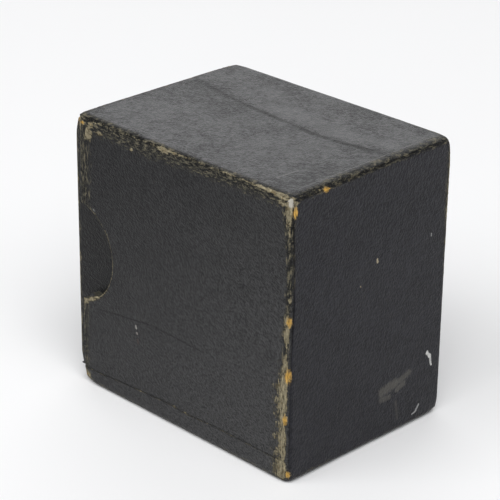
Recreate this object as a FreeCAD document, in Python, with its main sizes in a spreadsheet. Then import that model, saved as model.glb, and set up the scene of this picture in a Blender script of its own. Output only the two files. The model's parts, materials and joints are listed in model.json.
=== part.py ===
"""Slip case with a sliding tray that holds a cake of rosin, as a parametric document.

The case is five boards, papered outside and inside, open at its mouth on the -X side.
The tray is five boards, open at the top, and slides out through the mouth towards -X.
+Z is up, -Y is the front, and the origin is the centre of the face the case stands on.
"""
import FreeCAD, Part
import math
import os
import re
import Sketcher

DOCUMENT = FreeCAD.newDocument("rosin_case")

# Driving dimensions in millimetres.
SIZES = {
    "case_length": 50.8,       # mouth to closed end, outside
    "case_width": 37.4,
    "case_height": 50.8,
    "case_board": 1.2,
    "cover": 0.25,             # black cover paper with its paste
    "lining": 0.15,            # lining paper with its paste
    "foot_turn_up": 3.9,       # height of the foot paper on the walls
    "end_flange": 8.0,         # width of the wrap's turn-over on the closed end
    "end_margin": 0.8,         # bare edge round the pasted end sheet
    "mouth_turn_in": 10.0,     # depth of the cover paper inside the mouth
    "notch_radius": 9.2,
    "notch_offset": 1.0,       # the notch's centre lies this far outside the mouth
    "stay_leg": 6.0,           # width of an edge tape on each side of its edge
    "stay_thick": 0.1,
    "stay_setback": 1.0,       # tapes stop this far from the mouth or the rim
    "stay_gap": 0.4,           # between the ends of neighbouring tapes
    "tray_proud": 3.2,         # how far the tray stands out of the mouth at rest
    "tray_board": 1.1,
    "tray_cover": 0.2,
    "tray_rim_turn": 5.0,      # depth of the cover paper inside the rim
    "side_gap": 0.3,           # tray to case, each side
    "floor_gap": 0.1,
    "roof_gap": 0.5,
    "home_gap": 0.25,          # tray to closed end when pushed home
    "cushion_depth": 10.0,
    "cushion_gap": 0.3,
    "cushion_round": 2.0,
    "cake_gap": 0.2,           # under the cloth, because the cake lifts out
    "cloth": 0.7,
    "cloth_height": 23.0,
    "cake_length": 40.0,
    "cake_width": 26.0,
    "cake_depth": 24.0,
    "cake_corner": 3.0,
    "cake_edge": 1.2,
    "cake_draft": 1.5,         # degrees
    "trough_radius": 18.0,
    "trough_depth": 1.4,
}

# Planes of the case, each a formula of the sizes. X runs from the mouth to the closed end.
MOUTH = "-case_length / 2"
MOUTH_BOARD = "(-case_length / 2 + cover)"
END_OUT = "case_length / 2"
END_FLANGE = "(case_length / 2 - cover)"
END_BOARD = "(case_length / 2 - 2 * cover)"
END_BOARD_IN = "(case_length / 2 - 2 * cover - case_board)"
END_IN = "(case_length / 2 - 2 * cover - case_board - lining)"
SIDE_OUT = "case_width / 2"
SIDE_BOARD = "(case_width / 2 - cover)"
SIDE_BOARD_IN = "(case_width / 2 - cover - case_board)"
SIDE_IN = "(case_width / 2 - cover - case_board - lining)"
WALL = "(cover + case_board + lining)"
TOP_BOARD = "(case_height - cover)"
TOP_BOARD_IN = "(case_height - cover - case_board)"
TOP_IN = f"(case_height - {WALL})"

# Planes of the tray at rest.
TRAY_MOUTH = "(-case_length / 2 - tray_proud)"
TRAY_END = f"({END_IN} - home_gap - tray_proud)"
TRAY_SIDE = f"({SIDE_IN} - side_gap)"
TRAY_UNDER = f"({WALL} + floor_gap)"
TRAY_RIM = f"({TOP_IN} - roof_gap)"
TRAY_WALL = "(tray_cover + tray_board + lining)"
TRAY_FLOOR = f"({TRAY_UNDER} + {TRAY_WALL})"
CAKE_SEAT = f"({TRAY_FLOOR} + cushion_depth + cake_gap)"
TRAY_MIDDLE = f"(({TRAY_MOUTH} + {TRAY_END}) / 2)"


def sized(formula):
    """The formula with each name of a size pointed at its cell in the sheet."""
    return re.sub(r"[a-z_]+", lambda word: "Sizes." + word.group(), formula)


def minus(formula):
    """The formula's negative."""
    return f"-({formula})"


def make_sheet(sizes):
    """Write the driving dimensions to a spreadsheet, one alias each."""
    sheet = DOCUMENT.addObject("Spreadsheet::Sheet", "Sizes")
    for row, (alias, value) in enumerate(sizes.items(), start=1):
        sheet.set(f"A{row}", alias)
        sheet.set(f"B{row}", str(value))
        sheet.setAlias(f"B{row}", alias)
    DOCUMENT.recompute()


def place(thing, corner):
    """Bind an object's position to three formulas."""
    for axis, formula in zip("xyz", corner):
        thing.setExpression(f"Placement.Base.{axis}", sized(formula))


def box(label, low, high):
    """A block between two corners, each coordinate a formula."""
    block = DOCUMENT.addObject("Part::Box", label)
    block.Label = label
    for side, start, end in zip(("Length", "Width", "Height"), low, high):
        block.setExpression(side, sized(f"({end}) - ({start})"))
    place(block, low)
    return block


def cut(label, base, *tools):
    """The base with every tool cut away."""
    result = base
    for number, tool in enumerate(tools):
        step = DOCUMENT.addObject("Part::Cut", f"{label}_cut{number}")
        step.Base = result
        step.Tool = tool
        result = step
    result.Label = label
    return result


def fuse(label, *shapes):
    """One solid of several that touch."""
    joined = DOCUMENT.addObject("Part::MultiFuse", label)
    joined.Shapes = list(shapes)
    joined.Refine = True
    joined.Label = label
    return joined


def group(label, *shapes):
    """Several separate solids as one object."""
    compound = DOCUMENT.addObject("Part::Compound", label)
    compound.Links = list(shapes)
    compound.Label = label
    return compound


def origin_plane(body, role):
    """One of a body's own origin planes."""
    return next(plane for plane in body.Origin.OriginFeatures if plane.Role == role)


def new_body(label):
    """An empty body with its label."""
    body = DOCUMENT.addObject("PartDesign::Body", label)
    body.Label = label
    return body


def new_sketch(body, name, role):
    """A sketch on one of the body's origin planes."""
    sketch = body.newObject("Sketcher::SketchObject", name)
    sketch.AttachmentSupport = [(origin_plane(body, role), "")]
    sketch.MapMode = "FlatFace"
    return sketch


def name_size(sketch, number, name, formula):
    """Name a dimension of a sketch and bind it to a formula."""
    sketch.renameConstraint(number, name)
    sketch.setExpression(f"Constraints.{name}", sized(formula))


def draw_outline(sketch, corners):
    """Draw straight edges between the corners and join them, the last to the first."""
    points = [FreeCAD.Vector(x, y, 0) for x, y in corners]
    for start, end in zip(points, points[1:] + points[:1]):
        sketch.addGeometry(Part.LineSegment(start, end), False)
    for edge in range(len(points)):
        following = (edge + 1) % len(points)
        sketch.addConstraint(Sketcher.Constraint("Coincident", edge, 2, following, 1))


def draw_centred_rectangle(sketch, wide, tall):
    """A rectangle about the sketch's origin, its two sides bound to formulas."""
    draw_outline(sketch, [(-5, -5), (5, -5), (5, 5), (-5, 5)])
    for edge, direction in enumerate(("Horizontal", "Vertical", "Horizontal", "Vertical")):
        sketch.addConstraint(Sketcher.Constraint(direction, edge))
    sketch.addConstraint(Sketcher.Constraint("Symmetric", 0, 1, 2, 1, -1, 1))
    width = sketch.addConstraint(Sketcher.Constraint("DistanceX", 0, 1, 0, 2, 10))
    height = sketch.addConstraint(Sketcher.Constraint("DistanceY", 1, 1, 1, 2, 10))
    name_size(sketch, width, "wide", wide)
    name_size(sketch, height, "tall", tall)


def draw_notched_wall(sketch, long, tall, centre_x, centre_z):
    """A wall's outline from its mouth corner, with a round bite out of the mouth edge."""
    bite = 9.0
    draw_outline(sketch, [(0, 25 - bite), (0, 0), (50, 0), (50, 50), (0, 50), (0, 25 + bite)])
    sketch.delGeometry(5)
    middle = FreeCAD.Vector(-1, 25, 0)
    radius = math.hypot(1, bite)
    half_angle = math.atan2(bite, 1)
    circle = Part.Circle(middle, FreeCAD.Vector(0, 0, 1), radius)
    arc = sketch.addGeometry(Part.ArcOfCircle(circle, -half_angle, half_angle), False)
    sketch.addConstraint(Sketcher.Constraint("Coincident", arc, 1, 0, 1))
    sketch.addConstraint(Sketcher.Constraint("Coincident", arc, 2, 4, 2))
    for edge, direction in ((0, "Vertical"), (1, "Horizontal"), (2, "Vertical"),
                            (3, "Horizontal"), (4, "Vertical")):
        sketch.addConstraint(Sketcher.Constraint(direction, edge))
    sketch.addConstraint(Sketcher.Constraint("Coincident", 1, 1, -1, 1))
    length = sketch.addConstraint(Sketcher.Constraint("DistanceX", 1, 1, 1, 2, 50))
    height = sketch.addConstraint(Sketcher.Constraint("DistanceY", 2, 1, 2, 2, 50))
    inset = sketch.addConstraint(Sketcher.Constraint("DistanceX", arc, 3, -1, 1, 1))
    level = sketch.addConstraint(Sketcher.Constraint("DistanceY", -1, 1, arc, 3, 25))
    round_size = sketch.addConstraint(Sketcher.Constraint("Radius", arc, radius))
    name_size(sketch, length, "long", long)
    name_size(sketch, height, "tall", tall)
    name_size(sketch, inset, "inset", centre_x)
    name_size(sketch, level, "level", centre_z)
    name_size(sketch, round_size, "notch", "notch_radius")


def pad(body, sketch, length):
    """Pad a sketch to a bound length."""
    feature = body.newObject("PartDesign::Pad", f"{body.Name}_pad")
    feature.Profile = sketch
    feature.setExpression("Length", sized(length))
    return feature


def fillet(body, base, edges, radius):
    """Round the named edges of a body's last feature."""
    feature = body.newObject("PartDesign::Fillet", f"{base.Name}_round")
    feature.Base = (base, edges)
    feature.setExpression("Radius", sized(radius))
    DOCUMENT.recompute()
    return feature


def upright_edges(shape):
    """Names of the straight edges that run mostly along Z."""
    names = []
    for number, edge in enumerate(shape.Edges, start=1):
        start, end = edge.Vertexes[0].Point, edge.Vertexes[-1].Point
        run = end.sub(start)
        if run.Length > 0 and abs(run.z) > 0.9 * run.Length:
            names.append(f"Edge{number}")
    return names


def level_edges(shape, height):
    """Names of the edges that lie wholly at one height."""
    names = []
    for number, edge in enumerate(shape.Edges, start=1):
        span = edge.BoundBox
        if abs(span.ZMin - height) < 0.01 and abs(span.ZMax - height) < 0.01:
            names.append(f"Edge{number}")
    return names


def make_notched_board(label, face):
    """A front or back wall board, its outer or inner face at the given Y formula."""
    body = new_body(label)
    sketch = new_sketch(body, f"{label}_outline", "XZ_Plane")
    draw_notched_wall(sketch, f"{END_BOARD} - {MOUTH_BOARD}", f"{TOP_BOARD} - cover",
                      "notch_offset + cover", "case_height / 2 - cover")
    pad(body, sketch, "case_board")
    place(body, (MOUTH_BOARD, face, "cover"))
    return body


def make_notch_tool():
    """The round punch that cuts both notches through papers and boards."""
    punch = DOCUMENT.addObject("Part::Cylinder", "notch_punch")
    punch.setExpression("Radius", sized("notch_radius"))
    punch.setExpression("Height", sized("2 * case_width"))
    place(punch, (f"{MOUTH} - notch_offset", "case_width", "case_height / 2"))
    punch.Placement.Rotation = FreeCAD.Rotation(FreeCAD.Vector(1, 0, 0), 90)
    return punch


def edge_bars(prefix, low, high, open_top):
    """Blocks along a box's edges that its tapes are cut from.

    low and high are the corners of the boarded block. Without open_top the bars run along X
    and round the +X end; with it they stand on the upright edges and run round the floor.
    """
    leg, skin = "stay_leg", "stay_thick"
    bars = []
    spans = {}
    for axis, start, end in zip("xyz", low, high):
        spans[axis] = {
            "low": (f"{start} - {skin}", f"{start} + {leg}"),
            "high": (f"{end} - {leg}", f"{end} + {skin}"),
            "middle": (f"{start} + {leg} + stay_gap", f"{end} - {leg} - stay_gap"),
        }
    spans["x"]["long"] = (f"{low[0]} + stay_setback", f"{high[0]} - {leg} - stay_gap")
    if open_top:
        spans["z"]["tall"] = (f"{low[2]} + {leg} + stay_gap", f"{high[2]} - stay_setback")
        plan = [(x, y, "tall") for x in ("low", "high") for y in ("low", "high")]
        plan += [(x, "middle", "low") for x in ("low", "high")]
        plan += [("middle", y, "low") for y in ("low", "high")]
    else:
        plan = [("long", y, z) for y in ("low", "high") for z in ("low", "high")]
        plan += [("high", y, "middle") for y in ("low", "high")]
        plan += [("high", "middle", z) for z in ("low", "high")]
    for number, (x, y, z) in enumerate(plan):
        ends = [spans["x"][x], spans["y"][y], spans["z"][z]]
        bars.append(box(f"{prefix}_bar{number}", [e[0] for e in ends], [e[1] for e in ends]))
    return bars


def make_stays(label, low, high, open_top):
    """Folded paper tapes over the edges of a boarded block, as separate solids."""
    bars = edge_bars(label, low, high, open_top)
    block = box(f"{label}_block", low, high)
    return group(label, *[cut(f"{bar.Name}_tape", bar, block) for bar in bars])


def make_case(punch):
    """The boards, tapes and papers of the case."""
    front = make_notched_board("case_board_front", minus(SIDE_BOARD_IN))
    back = make_notched_board("case_board_back", SIDE_BOARD)
    top = box("case_board_top", (MOUTH_BOARD, minus(SIDE_BOARD_IN), TOP_BOARD_IN),
              (END_BOARD, SIDE_BOARD_IN, TOP_BOARD))
    bottom = box("case_board_bottom", (MOUTH_BOARD, minus(SIDE_BOARD_IN), "cover"),
                 (END_BOARD, SIDE_BOARD_IN, "cover + case_board"))
    end = box("case_board_end", (END_BOARD_IN, minus(SIDE_BOARD_IN), "cover + case_board"),
              (END_BOARD, SIDE_BOARD_IN, TOP_BOARD_IN))
    stays = make_stays("case_edge_stays", (MOUTH_BOARD, minus(SIDE_BOARD), "cover"),
                       (END_BOARD, SIDE_BOARD, TOP_BOARD), open_top=False)
    boarded = box("case_boarded", (f"{MOUTH} - cover", minus(SIDE_BOARD), "cover"),
                  (END_BOARD, SIDE_BOARD, TOP_BOARD))
    window = box("case_end_window",
                 (END_BOARD, f"-{SIDE_OUT} + end_flange", "foot_turn_up"),
                 (END_FLANGE, f"{SIDE_OUT} - end_flange", "case_height - end_flange"))
    wrap = cut("case_cover_wrap",
               box("case_wrap_block", (MOUTH, minus(SIDE_OUT), "foot_turn_up"),
                   (END_FLANGE, SIDE_OUT, "case_height")),
               boarded, window, punch, stays)
    foot = cut("case_cover_foot",
               box("case_foot_block", (MOUTH, minus(SIDE_OUT), "0"),
                   (END_FLANGE, SIDE_OUT, "foot_turn_up")),
               boarded, stays)
    end_plate = box("case_end_plate", (END_FLANGE, f"-{SIDE_OUT} + end_margin", "end_margin"),
                    (END_OUT, f"{SIDE_OUT} - end_margin", "case_height - end_margin"))
    end_sheet = cut("case_cover_end", fuse("case_end_block", end_plate, window), stays)
    opening = ((MOUTH + " - 1", minus(SIDE_IN), WALL), (END_IN, SIDE_IN, TOP_IN))
    lip = fuse("case_lip_block",
               box("case_lip_edge", (MOUTH, minus(SIDE_BOARD), "cover"),
                   (MOUTH_BOARD, SIDE_BOARD, TOP_BOARD)),
               box("case_lip_inside", (MOUTH, minus(SIDE_BOARD_IN), "cover + case_board"),
                   (f"{MOUTH} + mouth_turn_in", SIDE_BOARD_IN, TOP_BOARD_IN)))
    turn_in = cut("case_mouth_turn_in", lip, box("case_lip_opening", *opening), punch)
    sleeve = cut("case_lining_sleeve",
                 box("case_lining_block",
                     (f"{MOUTH} + mouth_turn_in", minus(SIDE_BOARD_IN), "cover + case_board"),
                     (END_BOARD_IN, SIDE_BOARD_IN, TOP_BOARD_IN)),
                 box("case_lining_opening", (MOUTH, minus(SIDE_IN), WALL),
                     (END_OUT, SIDE_IN, TOP_IN)), punch)
    end_lining = box("case_lining_end", (END_IN, minus(SIDE_IN), WALL),
                     (END_BOARD_IN, SIDE_IN, TOP_IN))
    return [front, back, top, bottom, end, stays, wrap, foot, end_sheet, turn_in, sleeve,
            end_lining]


def make_tray():
    """The boards, tapes and papers of the tray."""
    skin, core = "tray_cover", "(tray_cover + tray_board)"
    low_x, high_x = f"({TRAY_MOUTH} + {skin})", f"({TRAY_END} - {skin})"
    in_low_x, in_high_x = f"({TRAY_MOUTH} + {core})", f"({TRAY_END} - {core})"
    side, in_side = f"({TRAY_SIDE} - {skin})", f"({TRAY_SIDE} - {core})"
    under, rim = f"({TRAY_UNDER} + {skin})", f"({TRAY_RIM} - {skin})"
    clear_low = (f"({TRAY_MOUTH} + {TRAY_WALL})", f"-({TRAY_SIDE} - {TRAY_WALL})")
    clear_high = (f"({TRAY_END} - {TRAY_WALL})", f"({TRAY_SIDE} - {TRAY_WALL})")
    front = box("tray_board_front", (low_x, minus(side), under), (high_x, minus(in_side), rim))
    back = box("tray_board_back", (low_x, in_side, under), (high_x, side, rim))
    outer = box("tray_board_outer_end", (low_x, minus(in_side), under),
                (in_low_x, in_side, rim))
    inner = box("tray_board_inner_end", (in_high_x, minus(in_side), under),
                (high_x, in_side, rim))
    floor = box("tray_board_floor", (in_low_x, minus(in_side), under),
                (in_high_x, in_side, f"{TRAY_UNDER} + {core}"))
    stays = make_stays("tray_edge_stays", (low_x, minus(side), under), (high_x, side, rim),
                       open_top=True)
    boarded = box("tray_boarded", (low_x, minus(side), f"{TRAY_UNDER} - 1"),
                  (high_x, side, TRAY_RIM))
    band = cut("tray_cover_band",
               box("tray_band_block", (TRAY_MOUTH, minus(TRAY_SIDE), TRAY_UNDER),
                   (TRAY_END, TRAY_SIDE, rim)),
               boarded, stays)
    base = cut("tray_cover_base",
               box("tray_base_block", (low_x, minus(side), TRAY_UNDER), (high_x, side, under)),
               stays)
    rim_block = fuse("tray_rim_block",
                     box("tray_rim_edge", (TRAY_MOUTH, minus(TRAY_SIDE), rim),
                         (TRAY_END, TRAY_SIDE, TRAY_RIM)),
                     box("tray_rim_inside", (in_low_x, minus(in_side), f"{rim} - tray_rim_turn"),
                         (in_high_x, in_side, TRAY_RIM)))
    rim_paper = cut("tray_rim_turn_in", rim_block,
                    box("tray_rim_opening", (*clear_low, TRAY_UNDER),
                        (*clear_high, f"{TRAY_RIM} + 1")))
    walls = cut("tray_lining_walls",
                box("tray_lining_block", (in_low_x, minus(in_side), f"{TRAY_UNDER} + {core}"),
                    (in_high_x, in_side, f"{rim} - tray_rim_turn")),
                box("tray_lining_opening", (*clear_low, TRAY_UNDER), (*clear_high, TRAY_RIM)))
    floor_paper = box("tray_lining_floor", (*clear_low, f"{TRAY_UNDER} + {core}"),
                      (*clear_high, TRAY_FLOOR))
    return [front, back, outer, inner, floor, stays, band, base, rim_paper, walls, floor_paper]


def make_cushion():
    """The wadding pad that fills the bottom of the tray."""
    body = new_body("cake_cushion")
    sketch = new_sketch(body, "cushion_outline", "XY_Plane")
    draw_centred_rectangle(
        sketch, f"{TRAY_END} - {TRAY_MOUTH} - 2 * {TRAY_WALL} - 2 * cushion_gap",
        f"2 * ({TRAY_SIDE} - {TRAY_WALL} - cushion_gap)")
    block = pad(body, sketch, "cushion_depth")
    DOCUMENT.recompute()
    edges = upright_edges(block.Shape)
    edges += level_edges(block.Shape, SIZES["cushion_depth"])
    fillet(body, block, edges, "cushion_round")
    place(body, (TRAY_MIDDLE, "0", TRAY_FLOOR))
    return body


def make_cloth():
    """The cloth cup round the cake, open at the top."""
    body = new_body("cake_cloth")
    outline = new_sketch(body, "cloth_outline", "XY_Plane")
    draw_centred_rectangle(outline, "cake_length + 2 * cloth", "cake_width + 2 * cloth")
    block = pad(body, outline, "cloth_height")
    DOCUMENT.recompute()
    rounded = fillet(body, block, upright_edges(block.Shape), "cake_corner + cloth")
    before = rounded.Shape.Volume
    cup = DOCUMENT.addObject("Part::Cut", "cake_cloth_cup")
    cup.Base = body
    cup.Tool = make_cake_well()
    body.Label = "cake_cloth_block"
    cup.Label = "cake_cloth"
    DOCUMENT.recompute()
    if cup.Shape.Volume > 0.5 * before:
        raise RuntimeError("the cup was not hollowed")
    place(cup, (TRAY_MIDDLE, "0", CAKE_SEAT))
    return cup


def make_cake_well():
    """The straight-sided well that the cake sits in, as a tool."""
    body = new_body("cake_well")
    sketch = new_sketch(body, "well_outline", "XY_Plane")
    draw_centred_rectangle(sketch, "cake_length", "cake_width")
    block = pad(body, sketch, "cake_depth")
    DOCUMENT.recompute()
    fillet(body, block, upright_edges(block.Shape), "cake_corner")
    place(body, ("0", "0", "cloth"))
    return body


def make_cake():
    """The cake of rosin, with drafted sides and the trough that bow hair wears."""
    body = new_body("rosin_cake")
    sketch = new_sketch(body, "cake_outline", "XY_Plane")
    draw_centred_rectangle(sketch, "cake_length", "cake_width")
    block = pad(body, sketch, "cake_depth")
    block.setExpression("TaperAngle", sized("-cake_draft"))
    DOCUMENT.recompute()
    rounded = fillet(body, block, upright_edges(block.Shape), "cake_corner")
    softened = fillet(body, rounded, level_edges(rounded.Shape, SIZES["cake_depth"]),
                      "cake_edge")
    trough = new_sketch(body, "trough_outline", "YZ_Plane")
    centre = FreeCAD.Vector(0, SIZES["cake_depth"] + SIZES["trough_radius"], 0)
    circle = Part.Circle(centre, FreeCAD.Vector(0, 0, 1), SIZES["trough_radius"])
    trough.addGeometry(circle, False)
    trough.addConstraint(Sketcher.Constraint("PointOnObject", 0, 3, -2))
    radius = trough.addConstraint(Sketcher.Constraint("Radius", 0, circle.Radius))
    level = trough.addConstraint(Sketcher.Constraint("DistanceY", -1, 1, 0, 3, centre.y))
    name_size(trough, radius, "radius", "trough_radius")
    name_size(trough, level, "level", "cake_depth + trough_radius - trough_depth")
    groove = body.newObject("PartDesign::Pocket", "cake_trough")
    groove.Profile = trough
    groove.Midplane = True
    groove.setExpression("Length", sized("2 * cake_length"))
    DOCUMENT.recompute()
    if groove.Shape.Volume > softened.Shape.Volume - 1:
        raise RuntimeError("the trough was not cut")
    place(body, (TRAY_MIDDLE, "0", f"{CAKE_SEAT} + cloth"))
    return body


def check(parts):
    """Stop if any object failed to compute or any part has no good solid."""
    for thing in DOCUMENT.Objects:
        if "Invalid" in thing.State or "Error" in thing.State:
            raise RuntimeError(f"{thing.Label} did not compute: {thing.State}")
    for part in parts:
        shape = part.Shape
        if shape.isNull() or not shape.isValid() or not shape.Solids:
            raise RuntimeError(f"{part.Label} has no valid solid")
        span = shape.BoundBox
        print(f"{part.Label:22s} solids {len(shape.Solids):2d} volume {shape.Volume:9.2f}"
              f"  x {span.XMin:7.2f} {span.XMax:7.2f}  y {span.YMin:7.2f} {span.YMax:7.2f}"
              f"  z {span.ZMin:6.2f} {span.ZMax:6.2f}")


def main():
    """Build every sub-part, check it and write its file."""
    make_sheet(SIZES)
    parts = make_case(make_notch_tool()) + make_tray()
    parts += [make_cushion(), make_cloth(), make_cake()]
    DOCUMENT.recompute()
    check(parts)
    os.makedirs("parts", exist_ok=True)
    for part in parts:
        part.Shape.exportStep(f"parts/{part.Label}.step")


main()
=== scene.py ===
"""Looks of a cake of rosin in its paper-covered slip case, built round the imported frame.

The case is open at its mouth on the -X side, and the tray slides out through it. Sizes in the
classes are millimetres in the frame's axes, and each finished mesh is in metres.
"""
import sys

import json
import logging
import math
from collections.abc import Callable, Iterable, Sequence
from dataclasses import dataclass, field
from enum import Enum

import bmesh
import bpy
import numpy as np
from mathutils import Matrix, Vector, noise

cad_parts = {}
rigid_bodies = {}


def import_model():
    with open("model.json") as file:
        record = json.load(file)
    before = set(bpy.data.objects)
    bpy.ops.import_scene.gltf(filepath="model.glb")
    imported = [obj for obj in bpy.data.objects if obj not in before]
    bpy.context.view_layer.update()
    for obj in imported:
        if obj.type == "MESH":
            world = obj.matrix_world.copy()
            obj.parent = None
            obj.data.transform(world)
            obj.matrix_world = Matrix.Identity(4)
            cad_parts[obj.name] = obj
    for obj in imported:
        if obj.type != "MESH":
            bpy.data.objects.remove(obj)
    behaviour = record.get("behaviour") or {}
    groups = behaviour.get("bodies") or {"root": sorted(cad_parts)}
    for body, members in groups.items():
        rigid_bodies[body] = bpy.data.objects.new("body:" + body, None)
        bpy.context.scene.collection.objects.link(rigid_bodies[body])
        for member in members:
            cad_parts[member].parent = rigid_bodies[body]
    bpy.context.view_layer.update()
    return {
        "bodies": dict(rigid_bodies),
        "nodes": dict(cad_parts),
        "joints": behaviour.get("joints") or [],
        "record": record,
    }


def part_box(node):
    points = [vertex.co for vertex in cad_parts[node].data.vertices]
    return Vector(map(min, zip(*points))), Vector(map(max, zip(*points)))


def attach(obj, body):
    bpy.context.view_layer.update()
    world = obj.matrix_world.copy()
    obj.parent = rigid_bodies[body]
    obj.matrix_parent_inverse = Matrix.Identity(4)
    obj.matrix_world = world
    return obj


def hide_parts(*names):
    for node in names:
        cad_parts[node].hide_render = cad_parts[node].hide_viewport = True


LOG = logging.getLogger("rosin_case")
Colour = tuple[float, float, float]
MM = 0.001

# The case's outside, in millimetres.
LENGTH, WIDTH, HEIGHT = 50.8, 37.4, 50.8
MOUTH_X, END_X, HALF_WIDTH = -LENGTH / 2, LENGTH / 2, WIDTH / 2
NOTCH_CENTRE = (MOUTH_X - 1.0, HEIGHT / 2)
NOTCH_RADIUS = 9.2
# The tray's outside at rest.
TRAY_LOW, TRAY_HIGH = (-28.6, -16.8, 1.7), (20.1, 16.8, 48.7)
# Each edge tape's width on its two sides, the gap between tapes' ends, and its thickness.
TAPE_LEG, TAPE_GAP, TAPE_THICK = 6.0, 0.4, 0.07
# How far in from a block's faces its boards are cut for their blunted edges, and how near a
# board's own faces a cut may come.
BOARD_CUTS = (0.12, 0.3, 0.55, 1.1, 1.6, 2.2, 3.0, 4.2)
CUT_MARGIN = 0.05
LONG_EDGE = 6.0


class Side(Enum):
    """A side of a block: its axis number and which end of that axis."""

    FRONT = (1, -1)
    BACK = (1, 1)
    TOP = (2, 1)
    BOTTOM = (2, -1)
    END = (0, 1)
    MOUTH = (0, -1)


class Grain(Enum):
    """How a coated paper's surface runs."""

    PEBBLED = "pebbled"
    WRINKLED = "wrinkled"
    FIBROUS = "fibrous"


# ---------------------------------------------------------------- node trees


class Graph:
    """The node tree of one procedural finish."""

    def __init__(self, name: str) -> None:
        """Start a material with its shader and its Object coordinates.

        Args:
            name: the material's name.
        """
        self.material = bpy.data.materials.new(name)
        self.material.use_nodes = True
        self.tree = self.material.node_tree
        self.shader = self.tree.nodes["Principled BSDF"]
        self.place = self.tree.nodes.new("ShaderNodeTexCoord").outputs["Object"]

    def node(self, kind: str, inputs: dict, **settings: object) -> bpy.types.Node:
        """Add a node.

        Args:
            kind: the node's type without its ShaderNode prefix.
            inputs: a socket or a value for each input, by name or number.
            settings: properties of the node itself.

        Returns:
            The new node.
        """
        made = self.tree.nodes.new("ShaderNode" + kind)
        for key, value in settings.items():
            setattr(made, key, value)
        for key, value in inputs.items():
            if isinstance(value, bpy.types.NodeSocket):
                self.tree.links.new(value, made.inputs[key])
            else:
                made.inputs[key].default_value = value
        return made

    def math(self, operation: str, *values: object, clamp: bool = False) -> bpy.types.NodeSocket:
        """A Math node's result.

        Args:
            operation: the node's operation.
            values: its one to three inputs.
            clamp: whether the result is kept from 0 to 1.

        Returns:
            The value socket.
        """
        inputs = dict(enumerate(values))
        return self.node("Math", inputs, operation=operation, use_clamp=clamp).outputs[0]

    def stretch(self, scale: Sequence[float], turn: Sequence[float] = (0, 0, 0)) -> bpy.types.NodeSocket:
        """Object coordinates, turned and then stretched.

        Args:
            scale: factor on each axis.
            turn: rotation in degrees.

        Returns:
            The vector socket.
        """
        angles = [math.radians(angle) for angle in turn]
        turned = self.node("Mapping", {"Vector": self.place, "Rotation": angles})
        return self.node("Mapping", {"Vector": turned.outputs[0], "Scale": scale}).outputs[0]

    def noise(self, scale: float, detail: float = 3.0, rough: float = 0.55,
              where: bpy.types.NodeSocket | None = None, warp: float = 0.0) -> bpy.types.NodeSocket:
        """Fractal noise from about 0.2 to 0.8.

        Args:
            scale: features per metre.
            detail: octaves.
            rough: how strong the fine octaves are.
            where: coordinates other than the object's own.
            warp: distortion.

        Returns:
            The value socket.
        """
        inputs = {"Vector": where or self.place, "Scale": scale, "Detail": detail,
                  "Roughness": rough, "Distortion": warp}
        return self.node("TexNoise", inputs).outputs[0]

    def cells(self, scale: float, where: bpy.types.NodeSocket) -> bpy.types.NodeSocket:
        """Distances to the middles of a Voronoi pattern's cells.

        Args:
            scale: cells per metre.
            where: the coordinates.

        Returns:
            The value socket.
        """
        return self.node("TexVoronoi", {"Vector": where, "Scale": scale}).outputs["Distance"]

    def span(self, value: object, low: float, high: float, start: float = 0.0,
             stop: float = 1.0) -> bpy.types.NodeSocket:
        """A smooth step from start to stop as the value goes from low to high.

        Args:
            value: the socket to map.
            low: where the step begins.
            high: where it ends.
            start: the result at low.
            stop: the result at high.

        Returns:
            The value socket.
        """
        inputs = {"Value": value, "From Min": low, "From Max": high, "To Min": start,
                  "To Max": stop}
        return self.node("MapRange", inputs, interpolation_type="SMOOTHSTEP").outputs[0]

    def mix(self, share: object, first: object, second: object) -> bpy.types.NodeSocket:
        """One colour mixed over another.

        Args:
            share: how much of the second shows.
            first: a colour or a socket.
            second: a colour or a socket.

        Returns:
            The colour socket.
        """
        inputs = {0: share, 6: opaque(first), 7: opaque(second)}
        return self.node("Mix", inputs, data_type="RGBA").outputs[2]

    def blend(self, share: object, first: object, second: object) -> bpy.types.NodeSocket:
        """One number mixed over another.

        Args:
            share: how much of the second shows.
            first: a number or a socket.
            second: a number or a socket.

        Returns:
            The value socket.
        """
        return self.node("Mix", {0: share, 2: first, 3: second}, data_type="FLOAT").outputs[0]

    def soil_and_shadow(self) -> bpy.types.NodeSocket:
        """How much dirt and painted shadow darken the surface, from an attribute."""
        return self.node("Attribute", {}, attribute_name="soil_and_shadow").outputs["Fac"]

    def wear(self) -> list[bpy.types.NodeSocket]:
        """The wear attribute's channels: rubbed, bare, straw, and how upright its edge is."""
        found = self.node("Attribute", {}, attribute_name="wear").outputs
        parts = self.node("SeparateColor", {"Color": found["Color"]}).outputs
        return [*parts, found["Alpha"]]

    def scratch(self, start: Vector, end: Vector, reach: float,
                ragged: bpy.types.NodeSocket) -> bpy.types.NodeSocket:
        """A mark along a short line.

        Args:
            start: one end, in millimetres.
            end: the other end.
            reach: the mark's half width in millimetres.
            ragged: a noise socket that breaks up its edge.

        Returns:
            A mask from 0 to 1.
        """
        first, run = start * MM, (end - start) * MM
        away = self.node("VectorMath", {0: self.place, 1: first}, operation="SUBTRACT").outputs[0]
        dot = self.node("VectorMath", {0: away, 1: run}, operation="DOT_PRODUCT").outputs["Value"]
        share = self.math("DIVIDE", dot, run.length_squared, clamp=True)
        along = self.node("VectorMath", {0: run, "Scale": share}, operation="SCALE").outputs[0]
        left = self.node("VectorMath", {0: away, 1: along}, operation="SUBTRACT").outputs[0]
        far = self.node("VectorMath", {0: left}, operation="LENGTH").outputs["Value"]
        rough = self.math("MULTIPLY_ADD", ragged, reach * MM * 2.2, -reach * MM * 1.1)
        return self.span(self.math("ADD", far, rough), reach * MM * 0.6, reach * MM * 1.25, 1, 0)

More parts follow.
